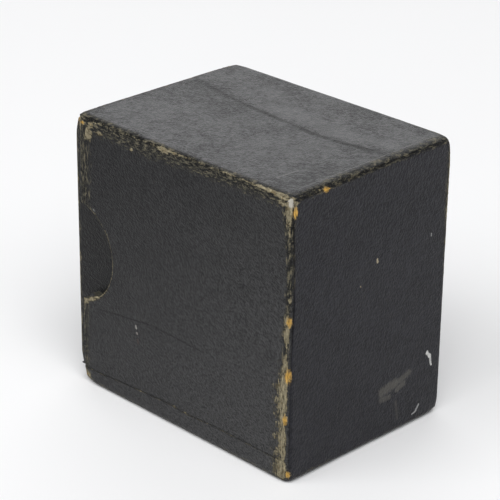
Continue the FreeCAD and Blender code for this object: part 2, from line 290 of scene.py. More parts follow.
    def finish(self, colour: object, roughness: object, height: object, depth: float,
               **fixed: object) -> bpy.types.Material:
        """Join the results to the shader.

        Args:
            colour: base colour.
            roughness: roughness.
            height: the relief, from 0 to 1.
            depth: the relief's depth in millimetres.
            fixed: uniform values for the shader's own sockets.

        Returns:
            The finished material.
        """
        bump = self.node("Bump", {"Height": height, "Distance": depth * MM, "Strength": 1.0})
        for name, value in (("Base Color", opaque(colour)), ("Roughness", roughness),
                            ("Normal", bump.outputs[0])):
            if isinstance(value, bpy.types.NodeSocket):
                self.tree.links.new(value, self.shader.inputs[name])
            else:
                self.shader.inputs[name].default_value = value
        for name, value in fixed.items():
            self.shader.inputs[name.replace("_", " ")].default_value = value
        return self.material


def opaque(colour: object) -> object:
    """A colour with its alpha of 1; a socket passes unchanged."""
    return (*colour, 1.0) if isinstance(colour, tuple) else colour


def shade(colour: Colour, factor: float) -> Colour:
    """A colour made darker or lighter by a factor."""
    return tuple(part * factor for part in colour)


# ---------------------------------------------------------------- finishes


@dataclass(frozen=True)
class Mark:
    """A small mark on a paper: a short line with a colour.

    Its ends are in millimetres in the frame's axes.
    """

    start: tuple[float, float, float]
    end: tuple[float, float, float]
    reach: float
    colour: Colour
    strength: float = 0.9


@dataclass(frozen=True)
class CoatedPaper:
    """Black coated paper, rubbed grey, worn to its fibre and through to the board.

    The coat runs from its own black to a lighter tone, by cloudy and blotchy shares and by its grain; on
    the top's paper that lighter tone is a painted sheen.
    Painted light makes the coat lighter along a given direction, which is in shares of a millimetre.
    """

    name: str
    grain: Grain = Grain.PEBBLED
    coat: Colour = (0.0012, 0.0012, 0.0018)
    # A lighter tone of the coat; on the top's paper it is a painted sheen.
    faded_and_sheen: Colour = (0.0165, 0.0165, 0.0175)
    # Painted light: a lighter tone that grows along a direction.
    painted_light_colour: Colour = (0.060, 0.060, 0.061)
    painted_light_direction: tuple[float, float, float] | None = None
    rubbed: Colour = (0.075, 0.070, 0.050)
    fibre: Colour = (0.235, 0.205, 0.135)
    foxed: Colour = (0.11, 0.075, 0.03)
    straw: Colour = (0.52, 0.31, 0.075)
    black: Colour = (0.004, 0.004, 0.0035)
    roughness: float = 0.40
    specular: float = 0.145
    relief: float = 0.30
    cloudy: float = 0.22
    blotchy: float = 0.20
    marks: tuple[Mark, ...] = ()

    def height(self, graph: Graph) -> bpy.types.NodeSocket:
        """The paper's embossed grain.

        Args:
            graph: the tree to add it to.

        Returns:
            The relief's socket, from 0 to 1.
        """
        if self.grain is Grain.PEBBLED:
            slanted = graph.stretch((0.66, 1.0, 1.0), (0, -17, 0))
            cell = graph.noise(2300, 4.0, 0.68, slanted, 0.3)
            fine = graph.cells(3500, slanted)
        elif self.grain is Grain.WRINKLED:
            upright = graph.stretch((1.0, 1.0, 0.70), (12, 0, 0))
            cell = graph.noise(2000, 4.0, 0.62, upright, 0.5)
            fine = graph.cells(3000, upright)
        else:
            laid = graph.stretch((0.62, 1.0, 1.0), (0, 0, -40))
            cell = graph.noise(1900, 6.0, 0.75, laid, 0.5)
            fine = graph.cells(3600, laid)
        return graph.blend(0.35, cell, fine)

    def worn_colours(self, graph: Graph, streak: bpy.types.NodeSocket,
                     bare: bpy.types.NodeSocket) -> tuple[bpy.types.NodeSocket, bpy.types.NodeSocket]:
        """The colours where the coat is rubbed and where the fibre is bare, with a painted shadow along
        the coat's torn edge.

        Args:
            graph: the tree to add them to.
            streak: noise that runs along the edge.
            bare: the bare channel of the wear attribute.

        Returns:
            The rubbed colour and the fibre's colour.
        """
        tan, dark, light = (shade(self.fibre, factor) for factor in (0.72, 0.22, 1.7))
        flecks = graph.noise(3600, 3.0, 0.7)
        rubbed = graph.mix(graph.span(streak, 0.48, 0.56), self.black, self.rubbed)
        rubbed = graph.mix(graph.span(streak, 0.57, 0.62), rubbed, tan)
        rubbed = graph.mix(graph.span(flecks, 0.63, 0.70), rubbed, self.fibre)
        rubbed = graph.mix(graph.span(flecks, 0.40, 0.34), rubbed, self.black)
        fibre = graph.mix(graph.span(streak, 0.38, 0.50), dark, self.fibre)
        fibre = graph.mix(graph.span(streak, 0.55, 0.66), fibre, light)
        brown = graph.span(graph.noise(1500, 3.0, 0.6), 0.56, 0.66)
        fibre = graph.mix(graph.math("MULTIPLY", brown, 0.6), fibre, self.foxed)
        # Painted shadow: the bare fibre turns black just inside the coat's torn edge.
        rim = graph.math("SUBTRACT", 1.0, graph.span(bare, 0.50, 0.60))
        painted_edge_shadow = graph.math("MULTIPLY", rim, graph.span(graph.noise(1100, 3.0, 0.6), 0.42, 0.55))
        return rubbed, graph.mix(graph.math("MULTIPLY", painted_edge_shadow, 0.6), fibre, self.black)

    def coat_colour(self, graph: Graph, relief: bpy.types.NodeSocket,
                    coarse: bpy.types.NodeSocket) -> bpy.types.NodeSocket:
        """The coat where it is whole: black and lighter clouds, which on the top are a painted sheen,
        lighter where its grain is raised, dirt with a painted shadow along the top's lap, painted light
        that grows along a direction, and specks.

        Args:
            graph: the tree to add it to.
            relief: the paper's embossed grain.
            coarse: coarse noise.

        Returns:
            The colour socket.
        """
        mottle = graph.span(graph.noise(110, 4.0, 0.6), 0.34, 0.66)
        blotch = graph.span(coarse, 0.40, 0.62)
        clouds = graph.math("MULTIPLY_ADD", mottle, self.cloudy, 0.11 - self.cloudy / 2)
        blots = graph.math("MULTIPLY_ADD", blotch, self.blotchy, 0.10 - self.blotchy / 2)
        tone = graph.math("ADD", graph.math("ADD", clouds, blots),
                          graph.span(relief, 0.40, 0.58, 0.0, 0.65))
        colour = graph.mix(tone, self.coat, self.faded_and_sheen)
        # Painted shadow along the top's lap, with some dirt, turns the coat black.
        soil_and_shadow = graph.soil_and_shadow()
        patchy = graph.math("ADD", soil_and_shadow, graph.math("MULTIPLY_ADD", coarse, 0.9, -0.45))
        dirt_and_shadow = graph.math("MULTIPLY", patchy, graph.span(soil_and_shadow, 0, 0.1))
        colour = graph.mix(graph.span(dirt_and_shadow, 0.3, 0.9), colour, self.black)
        # Painted light: the coat turns lighter along a direction, most on the raised grain.
        if self.painted_light_direction:
            run = graph.node("VectorMath", {0: graph.place, 1: Vector(self.painted_light_direction) / MM},
                             operation="DOT_PRODUCT").outputs["Value"]
            painted_light_share = graph.math("MULTIPLY", graph.span(run, -1.7, 0.5),
                                 graph.span(relief, 0.22, 0.72))
            colour = graph.mix(painted_light_share, colour, self.painted_light_colour)
        speckle = graph.span(graph.noise(2400, 2.0, 0.7), 0.66, 0.74)
        return graph.mix(graph.math("MULTIPLY", speckle, 0.35), colour, self.rubbed)

    def make(self) -> bpy.types.Material:
        """Build the node tree.

        Returns:
            The material.
        """
        graph = Graph(self.name)
        rub, bare, straw, upright = graph.wear()
        fine = graph.noise(2800, 4.0, 0.65)
        coarse = graph.noise(620, 4.0, 0.6)
        level_streak = graph.noise(3000, 4.0, 0.72, graph.stretch((0.30, 0.30, 1.0)), 0.3)
        upright_streak = graph.noise(3000, 4.0, 0.72, graph.stretch((1.0, 1.0, 0.26)), 0.3)
        streak = graph.blend(upright, level_streak, upright_streak)
        ragged = graph.math("ADD", graph.math("MULTIPLY", fine, 0.38),
                            graph.math("MULTIPLY", coarse, 0.22))
        ragged = graph.math("MULTIPLY_ADD", streak, 0.40, ragged)
        ragged = graph.math("SUBTRACT", ragged, 0.5)
        rub_mask = self.worn(graph, rub, ragged, 1.3, 0.16)
        bare_mask = self.worn(graph, bare, ragged, 1.7, 0.06)
        straw_mask = self.worn(graph, straw, ragged, 1.7, 0.20)
        relief = self.height(graph)
        rubbed, fibre = self.worn_colours(graph, streak, bare)
        board = graph.mix(graph.span(streak, 0.35, 0.65), shade(self.straw, 0.6),
                          shade(self.straw, 1.3))
        colour = self.coat_colour(graph, relief, coarse)
        colour = graph.mix(graph.math("MULTIPLY", rub_mask, 0.8), colour, rubbed)
        colour = graph.mix(bare_mask, colour, fibre)
        colour = graph.mix(straw_mask, colour, board)
        for mark in self.marks:
            mask = graph.scratch(Vector(mark.start), Vector(mark.end), mark.reach, fine)
            colour = graph.mix(graph.math("MULTIPLY", mask, mark.strength), colour, mark.colour)
        shine = graph.math("MULTIPLY_ADD", graph.noise(900, 4.0, 0.65), 0.34,
                           self.roughness - 0.17)
        roughness = graph.blend(bare_mask, graph.blend(rub_mask, shine, 0.55), 0.92)
        height = graph.blend(bare_mask, relief, graph.math("MULTIPLY", streak, 1.3))
        return graph.finish(colour, roughness, height, self.relief,
                            Specular_IOR_Level=self.specular)

    @staticmethod
    def worn(graph: Graph, amount: bpy.types.NodeSocket, ragged: bpy.types.NodeSocket,
             breakup: float, soft: float) -> bpy.types.NodeSocket:
        """A ragged mask where the wear amount passes one half.

        Args:
            graph: the tree to add it to.
            amount: a channel of the wear attribute.
            ragged: noise about zero.
            breakup: how far the noise moves the edge.
            soft: the edge's softness.

        Returns:
            The mask's socket.
        """
        moved = graph.math("ADD", amount, graph.math("MULTIPLY", ragged, breakup))
        kept = graph.math("MULTIPLY", moved, graph.span(amount, 0.02, 0.14))
        return graph.span(kept, 0.5 - soft, 0.5 + soft)


@dataclass(frozen=True)
class Strawboard:
    """Coarse yellow board of pressed straw pulp."""

    name: str = "strawboard"
    colour: Colour = (0.50, 0.33, 0.13)
    dark: Colour = (0.30, 0.185, 0.07)
    fleck: Colour = (0.16, 0.09, 0.035)
    grime: Colour = (0.004, 0.004, 0.003)
    grey: Colour = (0.055, 0.052, 0.036)

    def make(self) -> bpy.types.Material:
        """Build the node tree and return the material."""
        graph = Graph(self.name)
        straws = graph.noise(900, 5.0, 0.7, graph.stretch((0.25, 1, 1)), 0.5)
        flecks = graph.span(graph.noise(2600, 2.0, 0.7), 0.62, 0.72)
        colour = graph.mix(graph.span(straws, 0.35, 0.65), self.dark, self.colour)
        colour = graph.mix(flecks, colour, self.fleck)
        grime = graph.mix(graph.span(straws, 0.4, 0.6), self.grime, self.grey)
        colour = graph.mix(graph.soil_and_shadow(), colour, grime)
        return graph.finish(colour, graph.span(straws, 0.2, 0.8, 0.85, 0.98), straws, 0.08)


@dataclass(frozen=True)
class PlainPaper:
    """Uncoated paper: laid lines, cloudy fibre and a little foxing."""

    name: str
    colour: Colour
    dark: Colour
    foxing: Colour = (0.30, 0.17, 0.06)
    lines_per_metre: float = 900.0

    def make(self) -> bpy.types.Material:
        """Build the node tree and return the material."""
        graph = Graph(self.name)
        cloud = graph.noise(260, 5.0, 0.6)
        fibre = graph.noise(2400, 4.0, 0.7, graph.stretch((0.4, 1, 1)))
        lines = graph.node("TexWave", {"Vector": graph.place, "Scale": self.lines_per_metre / 6.3,
                                       "Distortion": 1.2, "Detail": 2.0},
                           bands_direction="Z").outputs["Fac"]
        spots = graph.span(graph.noise(420, 2.0, 0.5), 0.66, 0.76)
        colour = graph.mix(graph.span(cloud, 0.3, 0.7), self.dark, self.colour)
        colour = graph.mix(graph.math("MULTIPLY", lines, 0.12), colour, self.dark)
        colour = graph.mix(graph.math("MULTIPLY", spots, 0.5), colour, self.foxing)
        height = graph.blend(0.3, fibre, lines)
        return graph.finish(colour, graph.span(fibre, 0.2, 0.8, 0.75, 0.95), height, 0.03)


@dataclass(frozen=True)
class Flannel:
    """Brushed cotton with a twill under its nap."""

    name: str = "cushion_flannel"
    colour: Colour = (0.075, 0.13, 0.085)
    light: Colour = (0.16, 0.23, 0.16)
    lint: Colour = (0.34, 0.38, 0.32)

    def make(self) -> bpy.types.Material:
        """Build the node tree and return the material."""
        graph = Graph(self.name)
        twill = graph.node("TexWave", {"Vector": graph.place, "Scale": 340.0, "Distortion": 0.6,
                                       "Detail": 2.0}, bands_direction="DIAGONAL").outputs["Fac"]
        nap = graph.noise(3600, 4.0, 0.75)
        lint = graph.span(graph.noise(1500, 3.0, 0.7), 0.55, 0.75)
        height = graph.blend(0.6, twill, nap)
        colour = graph.mix(height, self.colour, self.light)
        colour = graph.mix(graph.math("MULTIPLY", lint, 0.35), colour, self.lint)
        return graph.finish(colour, graph.span(nap, 0.2, 0.8, 0.85, 1.0), height, 0.12,
                            Sheen_Weight=0.4, Sheen_Roughness=0.5)


@dataclass(frozen=True)
class Velvet:
    """Cotton velvet whose pile is crushed in places and dusted with rosin."""

    name: str = "cake_velvet"
    colour: Colour = (0.075, 0.008, 0.014)
    light: Colour = (0.23, 0.03, 0.045)
    dust: Colour = (0.55, 0.42, 0.28)

    def make(self) -> bpy.types.Material:
        """Build the node tree and return the material."""
        graph = Graph(self.name)
        pile = graph.noise(4200, 3.0, 0.7, graph.stretch((1, 1, 0.6)))
        crush = graph.noise(230, 4.0, 0.6, None, 0.7)
        dust = graph.span(graph.noise(1700, 4.0, 0.75), 0.60, 0.72)
        height = graph.blend(0.5, pile, crush)
        colour = graph.mix(graph.span(height, 0.38, 0.62), self.colour, self.light)
        colour = graph.mix(graph.math("MULTIPLY", dust, 0.45), colour, self.dust)
        return graph.finish(colour, graph.span(pile, 0.2, 0.8, 0.8, 1.0), height, 0.15,
                            Sheen_Weight=0.9, Sheen_Roughness=0.35, Sheen_Tint=(0.9, 0.3, 0.3, 1))


@dataclass(frozen=True)
class Rosin:
    """Amber rosin, glassy where it was cast and powdered white where bow hair has run."""

    name: str = "rosin_amber"
    amber: Colour = (0.62, 0.20, 0.022)
    deep: Colour = (0.30, 0.065, 0.008)
    powder: Colour = (0.80, 0.66, 0.44)

    def make(self) -> bpy.types.Material:
        """Build the node tree and return the material."""
        graph = Graph(self.name)
        used = graph.wear()[0]
        hair = graph.noise(3800, 3.0, 0.7, graph.stretch((0.03, 1, 1)))
        cloud = graph.noise(150, 4.0, 0.6, None, 0.8)
        fine = graph.noise(3000, 3.0, 0.7)
        powder = graph.math("ADD", used, graph.math("MULTIPLY_ADD", hair, 1.5, -0.78))
        powder = graph.span(graph.math("MULTIPLY", powder, graph.span(used, 0.02, 0.3)), 0.35, 0.8)
        colour = graph.mix(graph.span(cloud, 0.35, 0.65), self.deep, self.amber)
        colour = graph.mix(graph.math("MULTIPLY", powder, 0.85), colour, self.powder)
        dust = graph.span(fine, 0.60, 0.72)
        colour = graph.mix(graph.math("MULTIPLY", dust, 0.18), colour, self.powder)
        roughness = graph.blend(powder, graph.span(fine, 0.3, 0.7, 0.07, 0.20), 0.85)
        see_through = graph.math("MULTIPLY_ADD", powder, -0.52, 0.58)
        graph.tree.links.new(see_through, graph.shader.inputs["Transmission Weight"])
        height = graph.blend(powder, graph.math("MULTIPLY", cloud, 0.4), hair)
        return graph.finish(colour, roughness, height, 0.06, IOR=1.54, Coat_Weight=0.15,
                            Coat_Roughness=0.08)


@dataclass(frozen=True)
class Tabletop:
    """A plain pale floor."""

    name: str = "pale_floor"
    colour: Colour = (0.90, 0.90, 0.905)

    def make(self) -> bpy.types.Material:
        """Build the node tree and return the material."""
        graph = Graph(self.name)
        cloud = graph.noise(6, 2.0, 0.5)
        colour = graph.mix(cloud, shade(self.colour, 0.985), self.colour)
        return graph.finish(colour, 0.7, cloud, 0.01, Specular_IOR_Level=0.1)


# ---------------------------------------------------------------- wear


@dataclass(frozen=True)
class EdgeWear:
    """Wear along one edge of the case.

    Stations run along the edge: (place, reach on the first side, reach on the second side,
    share of the reach that is bare, share that is down to the board), in millimetres from the
    mouth, the front or the floor.
    """

    first: Side
    second: Side
    stations: tuple[tuple[float, float, float, float, float], ...]


@dataclass(frozen=True)
class WornSpot:
    """A round worn place: its centre, its radius, how much is bare, how much is down to the
    board, and how tall it is for its width."""

    centre: tuple[float, float, float]
    radius: float
    bare: float = 1.0
    straw: float = 0.0
    tall: float = 1.0


@dataclass
class WearMap:
    """Where the case's covering is rubbed, bare or worn through to its board.

    Places are millimetres from the mouth, the front and the floor.
    """

    edges: tuple[EdgeWear, ...]
    spots: tuple[WornSpot, ...] = ()
    notch_reach: float = 0.13

    def fields(self, points: np.ndarray) -> np.ndarray:
        """Wear at points on the case.

        Args:
            points: an array of points in millimetres in the frame's axes.

        Returns:
            An array of (rubbed, bare, straw) from 0 to 1, with one half at each zone's edge,
            and whether the nearest worn edge is upright.
        """
        place = points + np.array([LENGTH / 2, WIDTH / 2, 0.0])
        gap = {}
        for side in Side:
            axis, sign = side.value
            full = (LENGTH, WIDTH, HEIGHT)[axis]
            gap[side] = np.maximum(full - place[:, axis] if sign > 0 else place[:, axis], 0.0)
        best = np.full((len(points), 3), -1.0)
        upright = np.zeros(len(points))
        for edge in self.edges:
            table = np.array(edge.stations)
            used = {edge.first.value[0], edge.second.value[0]}
            along = place[:, ({0, 1, 2} - used).pop()]
            on_first, on_second, bare, straw = (np.interp(along, table[:, 0], table[:, column])
                                                for column in range(1, 5))
            ratio = gap[edge.second] / on_first + gap[edge.first] / on_second
            stands = 2 not in used
            upright = np.where(1 - ratio > best[:, 0], float(stands), upright)
            for channel, share in enumerate((np.ones_like(bare), bare, straw)):
                level = np.where(share > 0.01, 1 - ratio / np.maximum(share, 0.01), -1)
                best[:, channel] = np.maximum(best[:, channel], level)
        for spot in self.spots:
            away = (place - np.array(spot.centre)) * np.array([1, 1, 1 / spot.tall])
            ratio = np.linalg.norm(away, axis=1) / spot.radius
            for channel, share in enumerate((1.0, spot.bare, spot.straw)):
                if share > 0:
                    best[:, channel] = np.maximum(best[:, channel], 1 - ratio / share)
        low_end = np.clip((NOTCH_CENTRE[1] - 4.5 - points[:, 2]) / 2, 0, 1)
        ring = np.abs(from_notch(points) - NOTCH_RADIUS) / (self.notch_reach * (1 + 2.5 * low_end))
        outside = (np.abs(points[:, 1]) > HALF_WIDTH - 0.6) & (points[:, 0] < MOUTH_X + 9)
        level = np.where(outside, 1 - ring, -1)
        best[:, 0] = np.maximum(best[:, 0], level)
        patchy = 0.55 - 0.6 * ripple(points, 2.2, 41.0) - 0.25 * low_end
        best[:, 1] = np.maximum(best[:, 1], np.where(level > -0.9, level - patchy, -1))
        levels = np.clip(0.5 + 0.5 * best, 0, 1)
        return np.concatenate([levels, upright[:, None]], axis=1)


def from_notch(points: np.ndarray) -> np.ndarray:
    """Each point's distance from the notches' centre line, in millimetres."""
    return np.hypot(points[:, 0] - NOTCH_CENTRE[0], points[:, 2] - NOTCH_CENTRE[1])


@dataclass(frozen=True)
class CornerCrush:
    """Blunted corners: every layer near one is pressed inwards by the same smooth amount.

    Each corner is its place in millimetres in the frame's axes, how far it is pressed along
    its diagonal, and the reach of that.
    """

    middle: tuple[float, float, float]
    corners: tuple[tuple[tuple[float, float, float], float, float], ...]
    softness: float = 1.6

    def press(self, points: np.ndarray) -> np.ndarray:
        """Points moved by the blunting.

        Args:
            points: an array of points in millimetres.

        Returns:
            The moved points.
        """
        moved = points.copy()
        middle = np.array(self.middle)
        for place, depth, reach in self.corners:
            corner = np.array(place)
            inward = np.sign(middle - corner) / math.sqrt(3)
            far = np.linalg.norm(points - corner, axis=1) / reach
            moved += inward * (depth * np.clip(1 - far, 0, 1) ** self.softness)[:, None]
        return moved

    def settle(self, places: np.ndarray, _outs: np.ndarray) -> np.ndarray:
        """A sheet's points moved by the blunting, whatever their outward directions."""
        return self.press(places)

    def press_shape(self, shape: bmesh.types.BMesh) -> None:
        """Blunt a shape in place."""
        places = self.press(np.array([vert.co for vert in shape.verts]))
        for vert, place in zip(shape.verts, places):
            vert.co = place


# ---------------------------------------------------------------- mesh tools


def link(name: str, mesh: bpy.types.Mesh) -> bpy.types.Object:
    """An object at the origin that holds the mesh, in the scene.

    Args:
        name: the piece's name.
        mesh: its mesh, in metres.

    Returns:
        The object.
    """
    made = bpy.data.objects.new(name, mesh)
    bpy.context.scene.collection.objects.link(made)
    return made


def to_object(name: str, shape: bmesh.types.BMesh) -> bpy.types.Object:
    """A smooth-shaded object of a shape that is in millimetres.

    Args:
        name: the piece's name.
        shape: the bmesh, which is freed.

    Returns:
        The object, in metres.
    """
    shape.transform(Matrix.Scale(MM, 4))
    for face in shape.faces:
        face.smooth = True
    mesh = bpy.data.meshes.new(name)
    shape.to_mesh(mesh)
    shape.free()
    return link(name, mesh)


def box_shape(low: Sequence[float], high: Sequence[float]) -> bmesh.types.BMesh:
    """A block between two corners.

    Args:
        low: its low corner.
        high: its high corner.

    Returns:
        The bmesh.
    """
    shape = bmesh.new()
    bmesh.ops.create_cube(shape, size=1.0)
    for vert in shape.verts:
        vert.co = Vector([low[axis] if vert.co[axis] < 0 else high[axis] for axis in range(3)])
    return shape


def slice_along(shape: bmesh.types.BMesh, axis: int, places: Iterable[float]) -> None:
    """Cut new edges across a shape and keep both halves.

    Args:
        shape: the bmesh.
        axis: the number of the axis that the cuts stand across.
        places: where they are on it.
    """
    direction = [float(number == axis) for number in range(3)]
    for place in places:
        geometry = shape.verts[:] + shape.edges[:] + shape.faces[:]
        bmesh.ops.bisect_plane(shape, geom=geometry, plane_co=[place * part for part in direction],
                               plane_no=direction)


def upright_edges(shape: bmesh.types.BMesh) -> list[bmesh.types.BMEdge]:
    """The shape's edges that rise by more than a millimetre."""
    return [edge for edge in shape.edges if abs(edge.verts[0].co.z - edge.verts[1].co.z) > 1]


def round_edges(shape: bmesh.types.BMesh, edges: Sequence[bmesh.types.BMEdge], offset: float,
                segments: int, clamp: bool = False) -> None:
    """Round some edges of a shape.

    Args:
        shape: the bmesh.
        edges: the edges.
        offset: how far each rounding reaches.
        segments: how many faces make it up.
        clamp: whether it stops where it would overlap.
    """
    bmesh.ops.bevel(shape, geom=edges, offset=offset, offset_type="OFFSET", segments=segments,
                    profile=0.5, affect="EDGES", material=-1, clamp_overlap=clamp)


def divide_long_edges(shape: bmesh.types.BMesh, cuts: int) -> None:
    """Divide a shape's long edges, so that it can bend.

    Args:
        shape: the bmesh.
        cuts: how many new points each edge gets.
    """
    edges = [edge for edge in shape.edges if edge.calc_length() > LONG_EDGE]
    bmesh.ops.subdivide_edges(shape, edges=edges, cuts=cuts, use_grid_fill=True)


def open_ends(shape: bmesh.types.BMesh, axis: int) -> None:
    """Take away a block's two faces on an axis and turn the rest to face inwards.

    Args:
        shape: the bmesh.
        axis: the axis's number.
    """
    caps = [face for face in shape.faces if abs(face.normal[axis]) > 0.5]
    bmesh.ops.delete(shape, geom=caps, context="FACES")
    bmesh.ops.reverse_faces(shape, faces=shape.faces)


def settle_modifiers(piece: bpy.types.Object) -> None:
    """Apply a piece's modifiers to its mesh.

    Args:
        piece: the object.
    """
    graph = bpy.context.evaluated_depsgraph_get()
    final = bpy.data.meshes.new_from_object(piece.evaluated_get(graph),
                                            preserve_all_data_layers=True, depsgraph=graph)
    old = piece.data
    piece.modifiers.clear()
    piece.data = final
    bpy.data.meshes.remove(old)


def thicken(piece: bpy.types.Object, thickness: float) -> None:
    """Give a sheet its thickness on its inner side.

    Args:
        piece: the object.
        thickness: in millimetres.
    """
    wall = piece.modifiers.new("thickness", "SOLIDIFY")
    wall.thickness = thickness * MM
    wall.offset = -1
    wall.use_rim = True
    settle_modifiers(piece)


def points_of(piece: bpy.types.Object) -> np.ndarray:
    """The piece's points in millimetres, one row each."""
    found = np.zeros(len(piece.data.vertices) * 3, np.float32)
    piece.data.vertices.foreach_get("co", found)
    return found.reshape(-1, 3).astype(float) / MM


def write_wear(piece: bpy.types.Object, levels: np.ndarray) -> None:
    """Store the wear levels of each point.

    Args:
        piece: the object.
        levels: an array of (rubbed, bare, straw, upright) rows.
    """
    layer = piece.data.attributes.new("wear", "FLOAT_COLOR", "POINT")
    layer.data.foreach_set("color", levels.astype(np.float32).ravel())


def write_soil_and_shadow(piece: bpy.types.Object, levels: np.ndarray) -> None:
    """Store how much dirt and painted shadow darken each point.

    Args:
        piece: the object.
        levels: one value for each point, from 0 to 1.
    """
    layer = piece.data.attributes.new("soil_and_shadow", "FLOAT", "POINT")
    layer.data.foreach_set("value", levels.astype(np.float32))


def ripple(points: np.ndarray, size: float, seed: float) -> np.ndarray:
    """Smooth noise from about -1 to 1.

    Args:
        points: points in millimetres.
        size: the size of its features in millimetres.
        seed: an offset that picks the pattern.

    Returns:
        One value for each point.
    """
    shift = Vector((seed, seed * 0.7, -seed))
    return np.array([noise.noise(Vector(point) / size + shift) for point in points])


def punch(piece: bpy.types.Object, cutter: bpy.types.Object) -> None:
    """Cut a closed shape out of a piece.

    Args:
        piece: the object to cut.
        cutter: the shape to take away, which stays.
    """
    cut = piece.modifiers.new("punch", "BOOLEAN")
    cut.operation = "DIFFERENCE"
    cut.solver = "EXACT"
    cut.object = cutter
    settle_modifiers(piece)


@dataclass(frozen=True)
class Block:
    """A rounded block that a sheet lies on: its corners and its edges' radius."""

    low: tuple[float, float, float]
    high: tuple[float, float, float]
    radius: float

    def core(self, point: Vector) -> Vector:
        """The nearest point of the block shrunk by its edges' radius."""
        return Vector([min(max(value, low + self.radius), high - self.radius)
                       for value, low, high in zip(point, self.low, self.high)])

    def press(self, point: Vector) -> tuple[Vector, Vector]:
        """A point of the sharp block laid on the rounded one.

        Args:
            point: a point on the sharp block's surface.

        Returns:
            The point on the rounded block, and the outward direction there.
        """
        core = self.core(point)
        out = point - core
        if out.length < 1e-6:
            return point, Vector((0, 0, 0))
        out.normalize()
        return core + out * self.radius, out

    def trim(self, point: Vector) -> Vector:
        """A point brought in to the rounded block if it lies outside.

        Args:
            point: any point.

        Returns:
            The point, or the nearest one on the block's rounding.
        """
        core = self.core(point)
        out = point - core
        return core + out.normalized() * self.radius if out.length > self.radius else point.copy()


@dataclass(frozen=True)
class Panel:
    """A rectangle on one side: its ranges on the side's two axes, in X, Y, Z order."""

    side: Side
    first: tuple[float, float]
    second: tuple[float, float]


@dataclass
class PastedPaper:
    """A sheet of paper pasted on a rounded block, from flat panels that share their edges.

    Trim moves the flat sheet's points before it is pasted, keep says which faces stay, and
    settle moves the pasted points, given their outward directions. A long panel's rows are
    crowded towards its ends. A mouth roll folds the sheet's mouth edge inwards by its radius.
    """

    name: str
    block: Block
    panels: Sequence[Panel]
    thickness: float = 0.12
    step: float = 0.42
    crowd: float = 0.4
    trim: Callable[[Vector], Vector] | None = None
    keep: Callable[[Vector], bool] | None = None
    settle: Callable[[np.ndarray, np.ndarray], np.ndarray] | None = None
    mouth_roll: float = 0.0
    roll_steps: int = 4
    roll_tuck: float = 0.15
    long_panel: float = 20.0
    weld: float = 0.004

    def spread(self, share: float, low: float, high: float) -> float:
        """A place between low and high, crowded towards both ends on a long panel.

        Args:
            share: from 0 to 1.
            low: the range's start.
            high: its end.

        Returns:
            The place.
        """
        if high - low > self.long_panel:
            share -= self.crowd * math.sin(2 * math.pi * share) / (2 * math.pi)
        return low + share * (high - low)

    def add_panel(self, shape: bmesh.types.BMesh, panel: Panel) -> None:
        """Add one panel as a grid that faces outwards.

        Args:
            shape: the bmesh to add to.
            panel: the panel.
        """
        axis, sign = panel.side.value
        others = [number for number in range(3) if number != axis]
        counts = [max(2, round((span[1] - span[0]) / self.step))
                  for span in (panel.first, panel.second)]
        made = bmesh.ops.create_grid(shape, x_segments=counts[0], y_segments=counts[1], size=0.5)
        level = (self.block.high if sign > 0 else self.block.low)[axis]
        for vert in made["verts"]:
            place = Vector((0, 0, 0))
            place[others[0]] = self.spread(vert.co.x + 0.5, *panel.first)
            place[others[1]] = self.spread(vert.co.y + 0.5, *panel.second)
            place[axis] = level
            vert.co = place
        turned = (axis == 1) == (sign > 0)
        if turned:
            faces = list({face for vert in made["verts"] for face in vert.link_faces})
            bmesh.ops.reverse_faces(shape, faces=faces)

    def roll_mouth(self, shape: bmesh.types.BMesh) -> None:
        """Fold the sheet's mouth edge round and inwards.

        Args:
            shape: the sheet on its block, with its outward directions.
        """
        root = shape.verts.layers.float_vector.new("root")
        outward = shape.verts.layers.float_vector["out"]
        limit = MOUTH_X + self.mouth_roll + 0.01
        rim = [edge for edge in shape.edges if edge.is_boundary
               and all(vert.co.x < limit for vert in edge.verts)]
        for vert in {vert for edge in rim for vert in edge.verts}:
            vert[root] = vert.co
        for turn in range(1, self.roll_steps + 2):
            made = bmesh.ops.extrude_edge_only(shape, edges=rim)["geom"]
            rim = [item for item in made if isinstance(item, bmesh.types.BMEdge)]
            angle = min(turn, self.roll_steps) / self.roll_steps * math.pi / 2
            tuck = self.roll_tuck if turn > self.roll_steps else 0.0
            for vert in {vert for edge in rim for vert in edge.verts}:
                start = Vector(vert[root])
                drop = self.mouth_roll * (1 - math.cos(angle)) + tuck
                vert.co = start - Vector(vert[outward]) * drop
                vert.co.x = start.x - self.mouth_roll * math.sin(angle)

    def build(self) -> bpy.types.Object:
        """Make the sheet.

        Returns:
            The object, with its thickness.
        """
        shape = bmesh.new()
        for panel in self.panels:
            self.add_panel(shape, panel)
        bmesh.ops.remove_doubles(shape, verts=shape.verts, dist=self.weld)
        if self.keep:
            waste = [face for face in shape.faces if not self.keep(face.calc_center_median())]
            bmesh.ops.delete(shape, geom=waste, context="FACES")
        outward = shape.verts.layers.float_vector.new("out")
        for vert in shape.verts:
            place = self.trim(vert.co) if self.trim else vert.co
            vert.co, vert[outward] = self.block.press(place)
        if self.mouth_roll:
            self.roll_mouth(shape)
            outward = shape.verts.layers.float_vector["out"]
        if self.settle:
            places = np.array([vert.co for vert in shape.verts])
            outs = np.array([Vector(vert[outward]) for vert in shape.verts])
            for vert, place in zip(shape.verts, self.settle(places, outs)):
                vert.co = place
        piece = to_object(self.name, shape)
        for name in ("out", "root"):
            layer = piece.data.attributes.get(name)
            if layer:
                piece.data.attributes.remove(layer)
        thicken(piece, self.thickness)
        return piece


def dress(piece: bpy.types.Object, *materials: bpy.types.Material) -> None:
    """Put materials on a piece in place of what it has.

    Args:
        piece: the object.
        materials: its materials in slot order.
    """
    piece.data.materials.clear()
    for material in materials:
        piece.data.materials.append(material)


